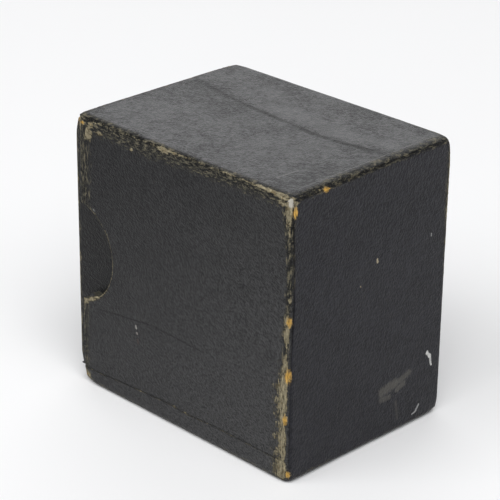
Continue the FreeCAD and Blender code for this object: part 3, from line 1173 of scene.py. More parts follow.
def coat_node(node: bpy.types.Object, material: bpy.types.Material) -> None:
    """Put a material in every slot of a node of the frame.

    Args:
        node: the node's object.
        material: the material.
    """
    if not node.material_slots:
        node.data.materials.append(material)
    for slot in node.material_slots:
        slot.material = material


def take(piece: bpy.types.Object, body: str, node: str, slot: str,
         *materials: bpy.types.Material) -> None:
    """Dress a piece, and let it ride on a body in place of a node of the frame.

    Args:
        piece: the object.
        body: the body.
        node: the node that it stands for.
        slot: its material slot in the record; not used.
        materials: its materials in slot order.
    """
    dress(piece, *materials)
    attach(piece, body)
    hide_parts(node)
    LOG.info("%s stands for %s, %d faces", piece.name, node, len(piece.data.polygons))


def line_at(stations: Sequence[tuple[float, float]], place: float) -> float:
    """A value between named stations.

    Args:
        stations: (place, value) pairs in order.
        place: where to read.

    Returns:
        The value there.
    """
    return float(np.interp(place, [row[0] for row in stations], [row[1] for row in stations]))


# ---------------------------------------------------------------- the case


CASE_WEAR = WearMap(
    edges=(
        EdgeWear(Side.FRONT, Side.TOP, (
            (0, 2.8, 1.0, 0.30, 0.05), (3, 2.8, 0.9, 0.28, 0), (7, 2.5, 0.8, 0.22, 0),
            (13, 2.6, 0.7, 0.22, 0), (17, 2.7, 0.5, 0.20, 0), (22, 2.4, 0.6, 0.30, 0),
            (30, 2.1, 0.5, 0.20, 0), (40, 1.9, 0.7, 0.22, 0), (47, 2.0, 0.9, 0.30, 0),
            (50.8, 2.0, 0.9, 0.5, 0.05))),
        EdgeWear(Side.FRONT, Side.END, (
            (0, 3.0, 0.35, 0.85, 0), (4, 3.2, 0.2, 0.95, 0), (8, 3.2, 0.2, 0.95, 0),
            (10.5, 2.6, 0.2, 0.9, 0), (13, 3.0, 0.2, 0.95, 0), (17, 3.2, 0.25, 0.95, 0),
            (18.5, 2.2, 0.3, 0.9, 0), (22, 1.9, 0.3, 0.85, 0), (24.5, 1.4, 0.3, 0.5, 0),
            (26, 1.7, 0.35, 0.85, 0), (30, 1.5, 0.4, 0.8, 0), (31.5, 0.9, 0.5, 0.25, 0),
            (34, 1.0, 0.7, 0.40, 0), (36, 0.9, 0.8, 0.20, 0.0), (41, 0.9, 0.8, 0.25, 0.0),
            (44, 1.2, 0.6, 0.45, 0), (48, 1.8, 0.7, 0.5, 0), (50.8, 2.2, 0.8, 0.6, 0))),
        EdgeWear(Side.TOP, Side.END, (
            (0, 1.0, 1.3, 0.5, 0), (4, 0.9, 1.2, 0.5, 0), (8, 1.2, 1.0, 0.35, 0),
            (12, 1.6, 1.0, 0.3, 0), (20, 1.7, 0.9, 0.34, 0), (30, 1.8, 0.7, 0.28, 0),
            (37.4, 2.2, 0.9, 0.4, 0))),
        EdgeWear(Side.FRONT, Side.MOUTH, (
            (0, 1.6, 0.8, 0.5, 0.1), (2, 1.3, 0.6, 0.2, 0), (13, 1.3, 0.6, 0.25, 0),
            (16.5, 1.5, 0.6, 0.6, 0), (33, 1.6, 0.6, 0.4, 0), (34, 2.4, 0.6, 0.08, 0),
            (46, 2.5, 0.6, 0.1, 0), (49, 2.8, 0.8, 0.35, 0), (50.8, 2.8, 0.8, 0.5, 0.1))),
        EdgeWear(Side.FRONT, Side.BOTTOM, (
            (0, 1.3, 0.6, 0.6, 0.15), (3, 0.8, 0.5, 0.6, 0), (25, 0.7, 0.4, 0.55, 0),
            (48, 0.8, 0.5, 0.6, 0), (50.8, 1.6, 0.8, 0.7, 0.1))),
        EdgeWear(Side.END, Side.BOTTOM, (
            (0, 1.2, 0.7, 0.7, 0.1), (4, 1.0, 0.5, 0.7, 0), (33, 0.9, 0.5, 0.7, 0),
            (37.4, 1.3, 0.8, 0.7, 0.1))),
        EdgeWear(Side.BACK, Side.END, (
            (0, 1.4, 0.8, 0.6, 0.1), (6, 0.8, 0.7, 0.55, 0), (25, 1.1, 0.7, 0.55, 0.1),
            (38, 1.0, 1.2, 0.7, 0), (46, 1.0, 1.1, 0.6, 0), (50.8, 1.6, 1.2, 0.6, 0.1))),
        EdgeWear(Side.BACK, Side.TOP, (
            (0, 1.5, 0.7, 0.5, 0.1), (10, 0.9, 0.4, 0.4, 0), (30, 1.2, 0.4, 0.4, 0),
            (50.8, 1.6, 0.8, 0.6, 0.1))),
        EdgeWear(Side.TOP, Side.MOUTH, (
            (0, 1.2, 0.9, 0.6, 0.2), (6, 0.7, 0.5, 0.35, 0), (31, 0.6, 0.5, 0.35, 0),
            (37.4, 1.2, 0.9, 0.5, 0.1))),
        EdgeWear(Side.BACK, Side.MOUTH, (
            (0, 1.6, 0.9, 0.6, 0.2), (4, 1.0, 0.7, 0.35, 0), (15, 1.6, 0.7, 0.4, 0),
            (36, 1.4, 0.7, 0.3, 0), (50.8, 2.2, 0.9, 0.6, 0.2))),
        EdgeWear(Side.BACK, Side.BOTTOM, (
            (0, 1.2, 0.7, 0.5, 0.2), (8, 0.6, 0.5, 0.4, 0), (50.8, 1.3, 0.8, 0.6, 0.1))),
        EdgeWear(Side.BOTTOM, Side.MOUTH, (
            (0, 1.2, 0.8, 0.5, 0.2), (8, 0.7, 0.5, 0.35, 0), (37.4, 1.2, 0.8, 0.5, 0.1))),
    ),
    spots=(
        WornSpot((1.0, 0.0, 49.2), 0.8, 1.0, 0.6, 0.6),
        WornSpot((3.2, 0.0, 49.4), 0.8, 1.0, 0.25, 0.7),
        WornSpot((2.6, 0.0, 47.7), 1.3, 0.8, 0.0, 1.1),
        WornSpot((5.4, 0.0, 48.5), 1.2, 0.75, 0.0, 0.5),
        WornSpot((13.6, 0.0, 47.9), 0.4, 1.0, 0.0),
        WornSpot((14.8, 0.0, 47.5), 0.25, 1.0, 0.0),
        WornSpot((21.5, 0.0, 50.1), 1.8, 0.8, 0.0, 0.3),
        WornSpot((50.0, 0.0, 47.6), 0.6, 1.0, 0.0, 3.0),
        WornSpot((48.8, 0.0, 49.3), 1.2, 0.8, 0.0, 0.5),
        WornSpot((50.4, 0.4, 49.6), 1.0, 1.0, 0.0),
        WornSpot((50.8, 0.7, 48.0), 0.42, 1.0, 0.9, 2.4),
        WornSpot((50.8, 7.6, 49.9), 0.75, 1.0, 0.8, 0.8),
        WornSpot((50.8, 6.2, 50.3), 0.5, 1.0, 0.4),
        WornSpot((50.4, 0.1, 29.2), 0.55, 1.0, 0.9, 1.7),
        WornSpot((50.3, 0.1, 19.6), 0.6, 1.0, 0.95, 2.0),
        WornSpot((49.8, 0.0, 11.6), 0.5, 1.0, 0.8, 2.2),
        WornSpot((50.5, 0.2, 1.7), 0.6, 1.0, 0.8, 1.2),
        WornSpot((50.4, 0.1, 33.0), 0.4, 1.0, 0.0, 1.4),
        WornSpot((0.9, 0.1, 15.8), 0.7, 1.0, 0.0, 0.5),
        WornSpot((3.6, 0.0, 17.6), 0.6, 0.5, 0.0, 0.5),
        WornSpot((0.6, 0.3, 1.4), 1.2, 0.9, 0.2),
        WornSpot((23.6, 0.0, 3.9), 0.4, 1.0, 0.0, 0.6),
        WornSpot((26.2, 0.0, 3.8), 0.35, 1.0, 0.0, 0.6),
    ),
)


CASE_CRUSH = CornerCrush((0, 0, HEIGHT / 2), (
    ((MOUTH_X, -HALF_WIDTH, HEIGHT), 0.12, 2.6), ((MOUTH_X, HALF_WIDTH, HEIGHT), 0.30, 3.2),
    ((END_X, HALF_WIDTH, HEIGHT), 0.50, 3.4), ((END_X, -HALF_WIDTH, HEIGHT), 0.40, 3.0),
    ((END_X, -HALF_WIDTH, 0), 0.20, 2.6), ((MOUTH_X, -HALF_WIDTH, 0), 0.55, 3.4),
    ((END_X, HALF_WIDTH, 0), 0.50, 3.4), ((MOUTH_X, HALF_WIDTH, 0), 0.5, 3.4)))
TRAY_CRUSH = CornerCrush(((TRAY_LOW[0] + TRAY_HIGH[0]) / 2, 0, HEIGHT / 2), (
    ((TRAY_LOW[0], TRAY_LOW[1], TRAY_HIGH[2]), 0.55, 3.2),
    ((TRAY_LOW[0], TRAY_HIGH[1], TRAY_HIGH[2]), 0.5, 3.2),
    ((TRAY_HIGH[0], TRAY_LOW[1], TRAY_HIGH[2]), 0.4, 2.8),
    ((TRAY_HIGH[0], TRAY_HIGH[1], TRAY_HIGH[2]), 0.4, 2.8),
    ((TRAY_LOW[0], TRAY_LOW[1], TRAY_LOW[2]), 0.4, 2.8),
    ((TRAY_LOW[0], TRAY_HIGH[1], TRAY_LOW[2]), 0.4, 2.8)))


def board(node: str, crush: CornerCrush, block: Block, material: bpy.types.Material, body: str,
          cutter: bpy.types.Object | None = None) -> None:
    """A board with its edges and corners blunted as the papers over it are.

    Args:
        node: the frame's node that it stands for.
        crush: the blunting of the corners.
        block: the rounded block that the boards make up.
        material: its finish.
        body: the body that it rides on.
        cutter: the notch punch, if the board is notched.
    """
    low, high = (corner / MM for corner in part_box(node))
    shape = box_shape(low, high)
    insets = sorted((*BOARD_CUTS, block.radius))
    for axis in range(3):
        places = [block.low[axis] + inset for inset in insets]
        places += [block.high[axis] - inset for inset in insets]
        first, last = low[axis] + CUT_MARGIN, high[axis] - CUT_MARGIN
        slice_along(shape, axis, [place for place in places if first < place < last])
    for vert in shape.verts:
        vert.co = block.trim(vert.co)
    crush.press_shape(shape)
    piece = to_object(node.replace("_board_", "_strawboard_"), shape)
    if cutter:
        punch(piece, cutter)
        write_soil_and_shadow(piece, (from_notch(points_of(piece)) < NOTCH_RADIUS + 0.5).astype(float))
    for face in piece.data.polygons:
        face.use_smooth = False
    take(piece, body, node, "strawboard", material)


@dataclass
class SlipCase:
    """The case's papers, tapes, boards and linings.

    Lines are (place, value) stations in millimetres from the mouth, the front or the floor.
    """

    edge_radius: float = 1.05
    board_radius: float = 0.8
    end_level: float = 25.15
    flare: float = 0.022
    bow: float = 0.05
    pucker: float = 0.018
    crumple: float = 0.05
    crease: float = 0.03
    worn_depth: float = 0.06
    mouth_roll: float = 0.45
    # The notches' punch: its facets, its frayed edge, and the torn tuft at its lower end.
    cutter_sides: int = 180
    fray: float = 0.05
    tuft: float = 1.7
    tuft_angle: float = -65.0
    tuft_spread: float = 9.0
    # The wrap's lower border, its flange on the closed end, and the lap under the top's paper.
    wrap_foot: float = 2.9
    end_flange: float = 8.0
    lap_height: float = 0.20
    lap_softness: float = 0.26
    lap_fade: float = 4.0
    lap_dip: float = 0.05
    lap_line: tuple[tuple[float, float], ...] = (
        (0, 26.8), (2.3, 26.0), (6.9, 24.8), (10.5, 24.2), (17, 23.2), (24.3, 22.6), (29.7, 22.2),
        (35, 21.8), (40.9, 22.2), (46.2, 23.4), (50.8, 23.3))
    # The foot paper.
    foot_height: float = 3.9
    foot_proud: float = 0.06
    foot_line: tuple[tuple[float, float], ...] = (
        (0, 2.9), (4.2, 3.0), (14.6, 3.6), (23.4, 3.9), (25.9, 3.6), (33.2, 4.0), (50.8, 3.9))
    # The sheet on the closed end: its borders, how proud it lies and how thick it is.
    end_proud: float = 0.2
    end_thick: float = 0.18
    end_back: float = 0.7
    end_foot: float = 0.75
    end_front_line: tuple[tuple[float, float], ...] = (
        (0, 0.2), (2.8, 0.25), (18.5, 0.4), (33, 1.1), (47, 0.85), (50.8, 0.85))
    end_top_line: tuple[tuple[float, float], ...] = (
        (0, 49.85), (12, 50.0), (35, 50.75), (37.4, 50.8))
    # The paper turned in at the mouth, which lies on a wall this thick.
    papered_wall: float = 1.6
    lip_width: float = 1.25
    lip_round: float = 0.35
    lip_thick: float = 0.13
    # How far the tapes and the boards lie under the case's outside.
    tape_depth: float = 0.15
    tape_end_depth: float = 0.4
    tape_setback: float = 1.1
    board_depth: float = 0.25
    board_end_depth: float = 0.5

    def relax(self, places: np.ndarray, outs: np.ndarray) -> np.ndarray:
        """Let a pasted sheet bow, flare and crumple as an old case does.

        Args:
            places: points in millimetres.
            outs: the outward direction at each.

        Returns:
            The moved points.
        """
        moved = places.copy()
        far = np.clip((places[:, 0] - MOUTH_X) / LENGTH, 0, 1)
        high = np.clip(places[:, 2] / HEIGHT, 0, 1)
        moved[:, 1] *= 1 + self.flare * far * high ** 1.5
        levels = CASE_WEAR.fields(places)
        worn = np.clip((levels[:, 1] + 0.25 * ripple(places, 0.55, 3.1) - 0.42) / 0.16, 0, 1)
        broad = self.bow * ripple(places, 16.0, 8.3) + self.pucker * ripple(places, 3.2, 5.7)
        edge_zone = np.clip(levels[:, 0] * 2 - 0.6, 0, 1)
        crush = self.crumple * ripple(places, 1.6, 1.9) + self.crease * ripple(places, 0.6, 4.4)
        inner = np.clip((places[:, 0] - MOUTH_X - 0.5) / 2, 0.3, 1)
        push = (broad + edge_zone * crush) * inner - self.worn_depth * worn
        push = np.where(places[:, 2] < 0.5, np.minimum(push, 0) * 0.3, push)
        return CASE_CRUSH.press(moved + outs * push[:, None])

    def cutter(self) -> bpy.types.Object:
        """The worn round punch that both notches follow.

        Returns:
            An object, which is removed once the papers are cut.
        """
        shape = bmesh.new()
        bmesh.ops.create_cone(shape, cap_ends=True, segments=self.cutter_sides,
                              radius1=NOTCH_RADIUS, radius2=NOTCH_RADIUS, depth=3 * WIDTH)
        bmesh.ops.rotate(shape, verts=shape.verts, matrix=Matrix.Rotation(math.pi / 2, 3, "X"))
        for vert in shape.verts:
            angle = math.atan2(vert.co.z, vert.co.x)
            around = Vector((math.cos(angle) * 6, math.sin(angle) * 6, 2.0))
            away = abs(math.degrees(angle) - self.tuft_angle) / self.tuft_spread
            tuft = max(0.0, 1 - away) * (vert.co.y < 0)
            torn = tuft * (1 + 0.35 * noise.noise(Vector((angle * 40, 0, 0))))
            lift = 1 + (self.fray * noise.noise(around) - self.tuft * torn) / NOTCH_RADIUS
            vert.co.x *= lift
            vert.co.z *= lift
        bmesh.ops.translate(shape, verts=shape.verts,
                            vec=(NOTCH_CENTRE[0], 0, NOTCH_CENTRE[1]))
        return to_object("notch_cutter", shape)

    def wrap(self) -> PastedPaper:
        """The black paper over the front, the top and the back, turned on to the end."""
        start, foot = MOUTH_X + self.mouth_roll, self.wrap_foot
        length, width = (start, self.end_level), (-HALF_WIDTH, HALF_WIDTH)
        middle = float(np.mean([value for _, value in self.lap_line])) - HALF_WIDTH

        def trim(point: Vector) -> Vector:
            """Lay the lower border on the foot's line and bend the top's rows along its lap."""
            moved = point.copy()
            bottom = line_at(self.foot_line, point.x - MOUTH_X) - 0.03
            moved.z += (bottom - foot) * max(0.0, 1 - (point.z - foot) / 12)
            if abs(point.z - HEIGHT) < 1e-3:
                shift = self.ridge(point.x) - middle
                moved.y += shift * max(0.0, 1 - abs(point.y - middle) / 10)
            return moved

        def keep(centre: Vector) -> bool:
            """Whether a face lies outside the window that the end sheet closes."""
            on_end = centre.x > self.end_level - 0.01
            inside = abs(centre.y) < HALF_WIDTH - self.end_flange
            return not (on_end and inside and centre.z < HEIGHT - self.end_flange)

        def settle(places: np.ndarray, outs: np.ndarray) -> np.ndarray:
            """Relax the sheet and raise the lap behind its line on the top."""
            moved = self.relax(places, outs)
            behind = places[:, 1] - np.array([self.ridge(x) for x in places[:, 0]])
            step = 1 / (1 + np.exp(-behind / self.lap_softness))
            rise = self.lap_height * step * np.exp(-np.maximum(behind, 0) / self.lap_fade)
            dip = -self.lap_dip * (1 - step) * np.exp(np.minimum(behind, 0))
            strength = 0.65 + 0.6 * ripple(places * np.array([1, 0, 0]), 6.0, 31.0)
            inset = np.minimum(places[:, 0] - MOUTH_X, END_X - 1.0 - places[:, 0])
            ends = np.clip(inset / 2, 0, 1)
            on_top = places[:, 2] > HEIGHT - 0.05
            moved[:, 2] += np.where(on_top, (rise + dip) * ends * strength, 0)
            return moved

        block = Block((-40, -HALF_WIDTH, -5), (self.end_level, HALF_WIDTH, HEIGHT),
                      self.edge_radius)
        tall = (foot, HEIGHT)
        panels = (Panel(Side.FRONT, length, tall), Panel(Side.BACK, length, tall),
                  Panel(Side.TOP, length, width), Panel(Side.END, width, tall))
        return PastedPaper("case_wrap_paper", block, panels, trim=trim, keep=keep, settle=settle,
                           mouth_roll=self.mouth_roll)

    def soil_and_shadow(self, places: np.ndarray) -> np.ndarray:
        """How dark the painted shadow of the top's lap lies along its front, with some dirt.

        Args:
            places: points in millimetres.

        Returns:
            One value for each point, from 0 to 1.
        """
        behind = places[:, 1] - np.array([self.ridge(x) for x in places[:, 0]])
        band = np.where(behind > 0, np.exp(-(behind / 0.22) ** 2), np.exp(-(behind / 0.85) ** 2))
        strength = 0.85 + 0.5 * ripple(places * np.array([1, 0, 0]), 5.0, 33.0)
        return np.clip(band * strength, 0, 1) * (places[:, 2] > HEIGHT - 0.3)

    def ridge(self, along: float) -> float:
        """Where the lap under the top's paper runs.

        Args:
            along: the place on X.

        Returns:
            The lap's place on Y.
        """
        places, values = zip(*self.lap_line)
        smooth = sum(np.interp(along - MOUTH_X + shift, places, values) for shift in (-1.2, 0, 1.2))
        wobble = 0.20 * noise.noise(Vector((along * 0.7, 0, 4)))
        wobble += 0.10 * noise.noise(Vector((along * 2.1, 0, 9)))
        return smooth / 3 - HALF_WIDTH + wobble

    def foot(self) -> PastedPaper:
        """The black paper under the case, turned up on its walls."""
        start, top = MOUTH_X + self.mouth_roll, self.foot_height
        side, end = HALF_WIDTH + self.foot_proud, self.end_level + self.foot_proud
        length, width = (start, end), (-side, side)

        def trim(point: Vector) -> Vector:
            """Bring the turned-up border to its wavy line."""
            moved = point.copy()
            line = line_at(self.foot_line, point.x - MOUTH_X)
            line += 0.09 * noise.noise(Vector((point.x * 1.7, point.y, 1)))
            line += 0.05 * noise.noise(Vector((point.x * 5.0, point.y, 7)))
            moved.z *= line / top
            return moved

        block = Block((-40, -side, 0), (end, side, 60), self.edge_radius + self.foot_proud)
        panels = [Panel(Side.BOTTOM, length, width), Panel(Side.END, width, (0, top))]
        panels += [Panel(wall, length, (0, top)) for wall in (Side.FRONT, Side.BACK)]
        return PastedPaper("case_foot_paper", block, panels, trim=trim, settle=self.relax,
                           mouth_roll=self.mouth_roll, step=0.36)

    def end_sheet(self) -> PastedPaper:
        """The black sheet pasted on the closed end, a little out of square."""
        proud = self.end_proud
        low = (-30.0, -HALF_WIDTH - proud, -proud)
        high = (self.end_level + proud, HALF_WIDTH + proud, HEIGHT + proud)

        def trim(point: Vector) -> Vector:
            """Bring the sheet's four borders to their places."""
            across = (point.y + HALF_WIDTH) / WIDTH
            front = line_at(self.end_front_line, point.z)
            back = WIDTH - self.end_back
            wobble = 0.05 * noise.noise(Vector((point.y, point.z, 3)) * 1.3)
            y_place = front + (back - front) * across + wobble - HALF_WIDTH
            top = line_at(self.end_top_line, point.y + HALF_WIDTH)
            z_place = self.end_foot + (top - self.end_foot) * (point.z / HEIGHT) + wobble
            return Vector((point.x, y_place, z_place))

        block = Block(low, high, self.edge_radius + proud)
        panel = Panel(Side.END, (-HALF_WIDTH, HALF_WIDTH), (0, HEIGHT))
        return PastedPaper("case_end_sheet", block, (panel,), trim=trim, settle=self.relax,
                           thickness=self.end_thick, step=0.38)

    def lip(self) -> bpy.types.Object:
        """The paper turned over the mouth's rim and pasted inside.

        Returns:
            The object.
        """
        low, high = (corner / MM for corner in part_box("case_mouth_turn_in"))
        half_y, half_z = HALF_WIDTH - self.papered_wall, HEIGHT / 2 - self.papered_wall
        shape = box_shape((low.x, -half_y, HEIGHT / 2 - half_z), (high.x, half_y, HEIGHT / 2 + half_z))
        open_ends(shape, 0)
        mouth = [edge for edge in shape.edges
                 if all(abs(vert.co.x - low.x) < 1e-3 for vert in edge.verts)]
        made = bmesh.ops.extrude_edge_only(shape, edges=mouth)["geom"]
        for vert in [item for item in made if isinstance(item, bmesh.types.BMVert)]:
            vert.co.y *= 1 + self.lip_width / half_y
            vert.co.z = HEIGHT / 2 + (vert.co.z - HEIGHT / 2) * (1 + self.lip_width / half_z)
        round_edges(shape, mouth, self.lip_round, 4)
        divide_long_edges(shape, 24)
        for vert in shape.verts:
            if vert.co.x < low.x + 0.3:
                vert.co.x += 0.04 * noise.noise(vert.co / 4.0)
        CASE_CRUSH.press_shape(shape)
        piece = to_object("case_mouth_lip", shape)
        thicken(piece, self.lip_thick)
        return piece

    def tapes(self) -> bpy.types.Object:
        """The eight folded tapes over the boards' edges, as one object."""
        low = (MOUTH_X + self.tape_depth, -HALF_WIDTH + self.tape_depth, self.tape_depth)
        high = (END_X - self.tape_end_depth, HALF_WIDTH - self.tape_depth, HEIGHT - self.tape_depth)
        block = Block((-40, low[1], low[2]), high, self.edge_radius - self.tape_depth)
        ends = TAPE_LEG + TAPE_GAP
        run = (low[0] + self.tape_setback, high[0] - ends)
        back = (high[0] - TAPE_LEG, high[0])
        near = {-1: (low[1], low[1] + TAPE_LEG), 1: (high[1] - TAPE_LEG, high[1])}
        level = {-1: (low[2], low[2] + TAPE_LEG), 1: (high[2] - TAPE_LEG, high[2])}
        mid_y, mid_z = (low[1] + ends, high[1] - ends), (low[2] + ends, high[2] - ends)
        walls, floors = {-1: Side.FRONT, 1: Side.BACK}, {-1: Side.BOTTOM, 1: Side.TOP}
        sheets = []
        for side in (-1, 1):
            for up in (-1, 1):
                sheets.append((Panel(walls[side], run, level[up]), Panel(floors[up], run, near[side])))
            sheets.append((Panel(walls[side], back, mid_z), Panel(Side.END, near[side], mid_z)))
            sheets.append((Panel(floors[side], back, mid_y), Panel(Side.END, mid_y, level[side])))
        return tape_set("case_edge_tapes", block, sheets, CASE_CRUSH)

    def cut_edge(self, places: np.ndarray, levels: np.ndarray) -> np.ndarray:
        """Add the pale cut edge of the foot paper to its wear.

        Args:
            places: the sheet's points in millimetres.
            levels: its wear so far.

        Returns:
            The wear with its cut edge.
        """
        line = np.array([line_at(self.foot_line, x - MOUTH_X) for x in places[:, 0]])
        near = np.clip(1 - (line + 0.1 - places[:, 2]) / 0.35, 0, 1)
        patchy = 0.42 + 0.5 * ripple(places, 2.5, 9.0)
        levels[:, 0] = np.maximum(levels[:, 0], near * 0.8)
        levels[:, 1] = np.maximum(levels[:, 1], near * np.clip(patchy, 0.1, 0.8))
        return levels

    def build(self, paper: dict[str, bpy.types.Material], nodes: dict[str, bpy.types.Object]) -> None:
        """Make and dress every piece of the case.

        Args:
            paper: the finishes by name.
            nodes: the frame's nodes.
        """
        cutter = self.cutter()
        wrap = self.wrap().build()
        punch(wrap, cutter)
        write_soil_and_shadow(wrap, self.soil_and_shadow(points_of(wrap)))
        foot, end_sheet = self.foot().build(), self.end_sheet().build()
        lip = self.lip()
        punch(lip, cutter)
        for piece in (wrap, foot, end_sheet, lip):
            places = points_of(piece)
            levels = CASE_WEAR.fields(places)
            if piece is foot:
                levels = self.cut_edge(places, levels)
            elif piece is lip:
                levels *= np.array([1.0, 0.8, 0.5, 1.0])
            write_wear(piece, levels)
        outside = (paper["pebbled"], paper["fibrous"])
        take(wrap, "case", "case_cover_wrap", "black_cover", *outside)
        take(foot, "case", "case_cover_foot", "black_cover", *outside)
        for piece in (wrap, foot):
            for face in piece.data.polygons:
                face.material_index = int(face.normal.z > 0.75)
        take(end_sheet, "case", "case_cover_end", "black_cover", paper["wrinkled"])
        take(lip, "case", "case_mouth_turn_in", "black_cover", paper["pebbled"])
        take(self.tapes(), "case", "case_edge_stays", "stay_tape", paper["tape"])
        side, depth = HALF_WIDTH - self.board_depth, self.board_depth
        block = Block((-60, -side, depth), (END_X - self.board_end_depth, side, HEIGHT - depth),
                      self.board_radius)
        for wall in ("front", "back", "top", "bottom", "end"):
            punched = cutter if wall in ("front", "back") else None
            board(f"case_board_{wall}", CASE_CRUSH, block, paper["board"], "case", punched)
        bpy.data.objects.remove(cutter)
        for name, node in nodes.items():
            if name.startswith("case_lining"):
                coat_node(node, paper["lining"])


def join(parts: Sequence[bpy.types.Object], name: str) -> bpy.types.Object:
    """Several pieces as one mesh.

    Args:
        parts: the objects, which are removed.
        name: the new piece's name.

    Returns:
        The joined object.
    """
    shape = bmesh.new()
    for part in parts:
        shape.from_mesh(part.data)
        bpy.data.objects.remove(part)
    mesh = bpy.data.meshes.new(name)
    for face in shape.faces:
        face.smooth = True
    shape.to_mesh(mesh)
    shape.free()
    return link(name, mesh)


def tape_set(name: str, block: Block, sheets: Sequence[Sequence[Panel]],
             crush: CornerCrush) -> bpy.types.Object:
    """Folded tapes on a block, as one object.

    Args:
        name: the object's name.
        block: the rounded block that they lie on.
        sheets: each tape's panels.
        crush: the blunting of the corners.

    Returns:
        The object.
    """
    made = [PastedPaper(f"{name}_{number}", block, panels, thickness=TAPE_THICK, step=0.6, crowd=0.0,
                        settle=crush.settle).build() for number, panels in enumerate(sheets)]
    return join(made, name)


# ---------------------------------------------------------------- the tray


@dataclass
class Tray:
    """The tray's papers, tapes, boards and linings."""

    edge_radius: float = 0.62
    board_radius: float = 0.42
    board_depth: float = 0.2
    tape_radius: float = 0.55
    tape_depth: float = 0.1
    tape_top: float = 1.2
    band_top: float = 0.1
    papered_wall: float = 1.45
    rim_turn: float = 5.0
    rim_inset: float = 0.02
    rim_drop: float = 0.6
    rim_round: float = 0.5
    rim_thick: float = 0.12

    def relax(self, places: np.ndarray, outs: np.ndarray) -> np.ndarray:
        """Let the tray's paper wave a little, less than the gap round the tray.

        Args:
            places: points in millimetres.
            outs: the outward direction at each.

        Returns:
            The moved points.
        """
        push = 0.03 * ripple(places, 12.0, 21.0) + 0.012 * ripple(places, 2.5, 22.0)
        return TRAY_CRUSH.press(places + outs * push[:, None])

    def band(self) -> PastedPaper:
        """The black paper round the tray's four walls."""
        low, high = TRAY_LOW, TRAY_HIGH
        length, width = (low[0], high[0]), (low[1], high[1])
        tall = (low[2], high[2] - self.band_top)
        block = Block((low[0], low[1], -40), (high[0], high[1], 90), self.edge_radius)
        panels = [Panel(wall, length, tall) for wall in (Side.FRONT, Side.BACK)]
        panels += [Panel(wall, width, tall) for wall in (Side.MOUTH, Side.END)]
        return PastedPaper("tray_band_paper", block, panels, settle=self.relax, step=0.6)

    def rim(self) -> bpy.types.Object:
        """The paper folded over the tray's rim and pasted inside.

        Returns:
            The object.
        """
        low, high = Vector(TRAY_LOW), Vector(TRAY_HIGH)
        wall = Vector((self.papered_wall, self.papered_wall, 0))
        base = Vector((low.x, low.y, high.z - self.rim_turn))
        shape = box_shape(base + wall, high - wall)
        open_ends(shape, 2)
        top = [edge for edge in shape.edges
               if all(vert.co.z > high.z - 0.01 for vert in edge.verts)]
        made = bmesh.ops.extrude_edge_only(shape, edges=top)["geom"]
        outer = [item for item in made if isinstance(item, bmesh.types.BMEdge)]
        width, middle = self.papered_wall - self.rim_inset, (low.x + high.x) / 2
        for vert in {vert for edge in outer for vert in edge.verts}:
            vert.co.x += math.copysign(width, vert.co.x - middle)
            vert.co.y += math.copysign(width, vert.co.y)
        made = bmesh.ops.extrude_edge_only(shape, edges=outer)["geom"]
        hem = [item for item in made if isinstance(item, bmesh.types.BMVert)]
        bmesh.ops.translate(shape, verts=hem, vec=(0, 0, -self.rim_drop))
        posts = [edge for edge in shape.edges
                 if 0.1 < abs(edge.verts[0].co.z - edge.verts[1].co.z) < self.rim_drop + 0.1]
        round_edges(shape, top + outer + posts, self.rim_round, 4, clamp=True)
        divide_long_edges(shape, 30)
        TRAY_CRUSH.press_shape(shape)
        piece = to_object("tray_rim_paper", shape)
        thicken(piece, self.rim_thick)
        return piece

    def tapes(self) -> bpy.types.Object:
        """The tray's eight folded tapes, as one object."""
        low = [value + self.tape_depth for value in TRAY_LOW]
        high = [value - self.tape_depth for value in TRAY_HIGH[:2]]
        block = Block(tuple(low), (*high, 90), self.tape_radius)
        ends, leg = TAPE_LEG + TAPE_GAP, TAPE_LEG
        tall, level = (low[2] + ends, TRAY_HIGH[2] - self.tape_top), (low[2], low[2] + leg)
        near_y = {Side.FRONT: (low[1], low[1] + leg), Side.BACK: (high[1] - leg, high[1])}
        near_x = {Side.MOUTH: (low[0], low[0] + leg), Side.END: (high[0] - leg, high[0])}
        mid_x, mid_y = (low[0] + ends, high[0] - ends), (low[1] + ends, high[1] - ends)
        sheets = []
        for wall, ys in near_y.items():
            for cap, xs in near_x.items():
                sheets.append((Panel(wall, xs, tall), Panel(cap, ys, tall)))
            sheets.append((Panel(wall, mid_x, level), Panel(Side.BOTTOM, mid_x, ys)))
        for cap, xs in near_x.items():
            sheets.append((Panel(cap, mid_y, level), Panel(Side.BOTTOM, xs, mid_y)))
        return tape_set("tray_edge_tapes", block, sheets, TRAY_CRUSH)

    def build(self, paper: dict[str, bpy.types.Material], nodes: dict[str, bpy.types.Object]) -> None:
        """Make and dress every piece of the tray.

        Args:
            paper: the finishes by name.
            nodes: the frame's nodes.
        """
        band, rim = self.band().build(), self.rim()
        for piece, node in ((band, "tray_cover_band"), (rim, "tray_rim_turn_in")):
            write_wear(piece, self.wear(points_of(piece)))
            take(piece, "tray", node, "black_cover", paper["tray"])
        take(self.tapes(), "tray", "tray_edge_stays", "stay_tape", paper["tape"])
        depth = self.board_depth
        block = Block(tuple(value + depth for value in TRAY_LOW),
                      (TRAY_HIGH[0] - depth, TRAY_HIGH[1] - depth, 90), self.board_radius)
        for wall in ("front", "back", "outer_end", "inner_end", "floor"):
            board(f"tray_board_{wall}", TRAY_CRUSH, block, paper["board"], "tray")
        for name, node in nodes.items():
            if name.startswith("tray_lining"):
                coat_node(node, paper["lining"])
            elif name == "tray_cover_base":
                coat_node(node, paper["tray"])

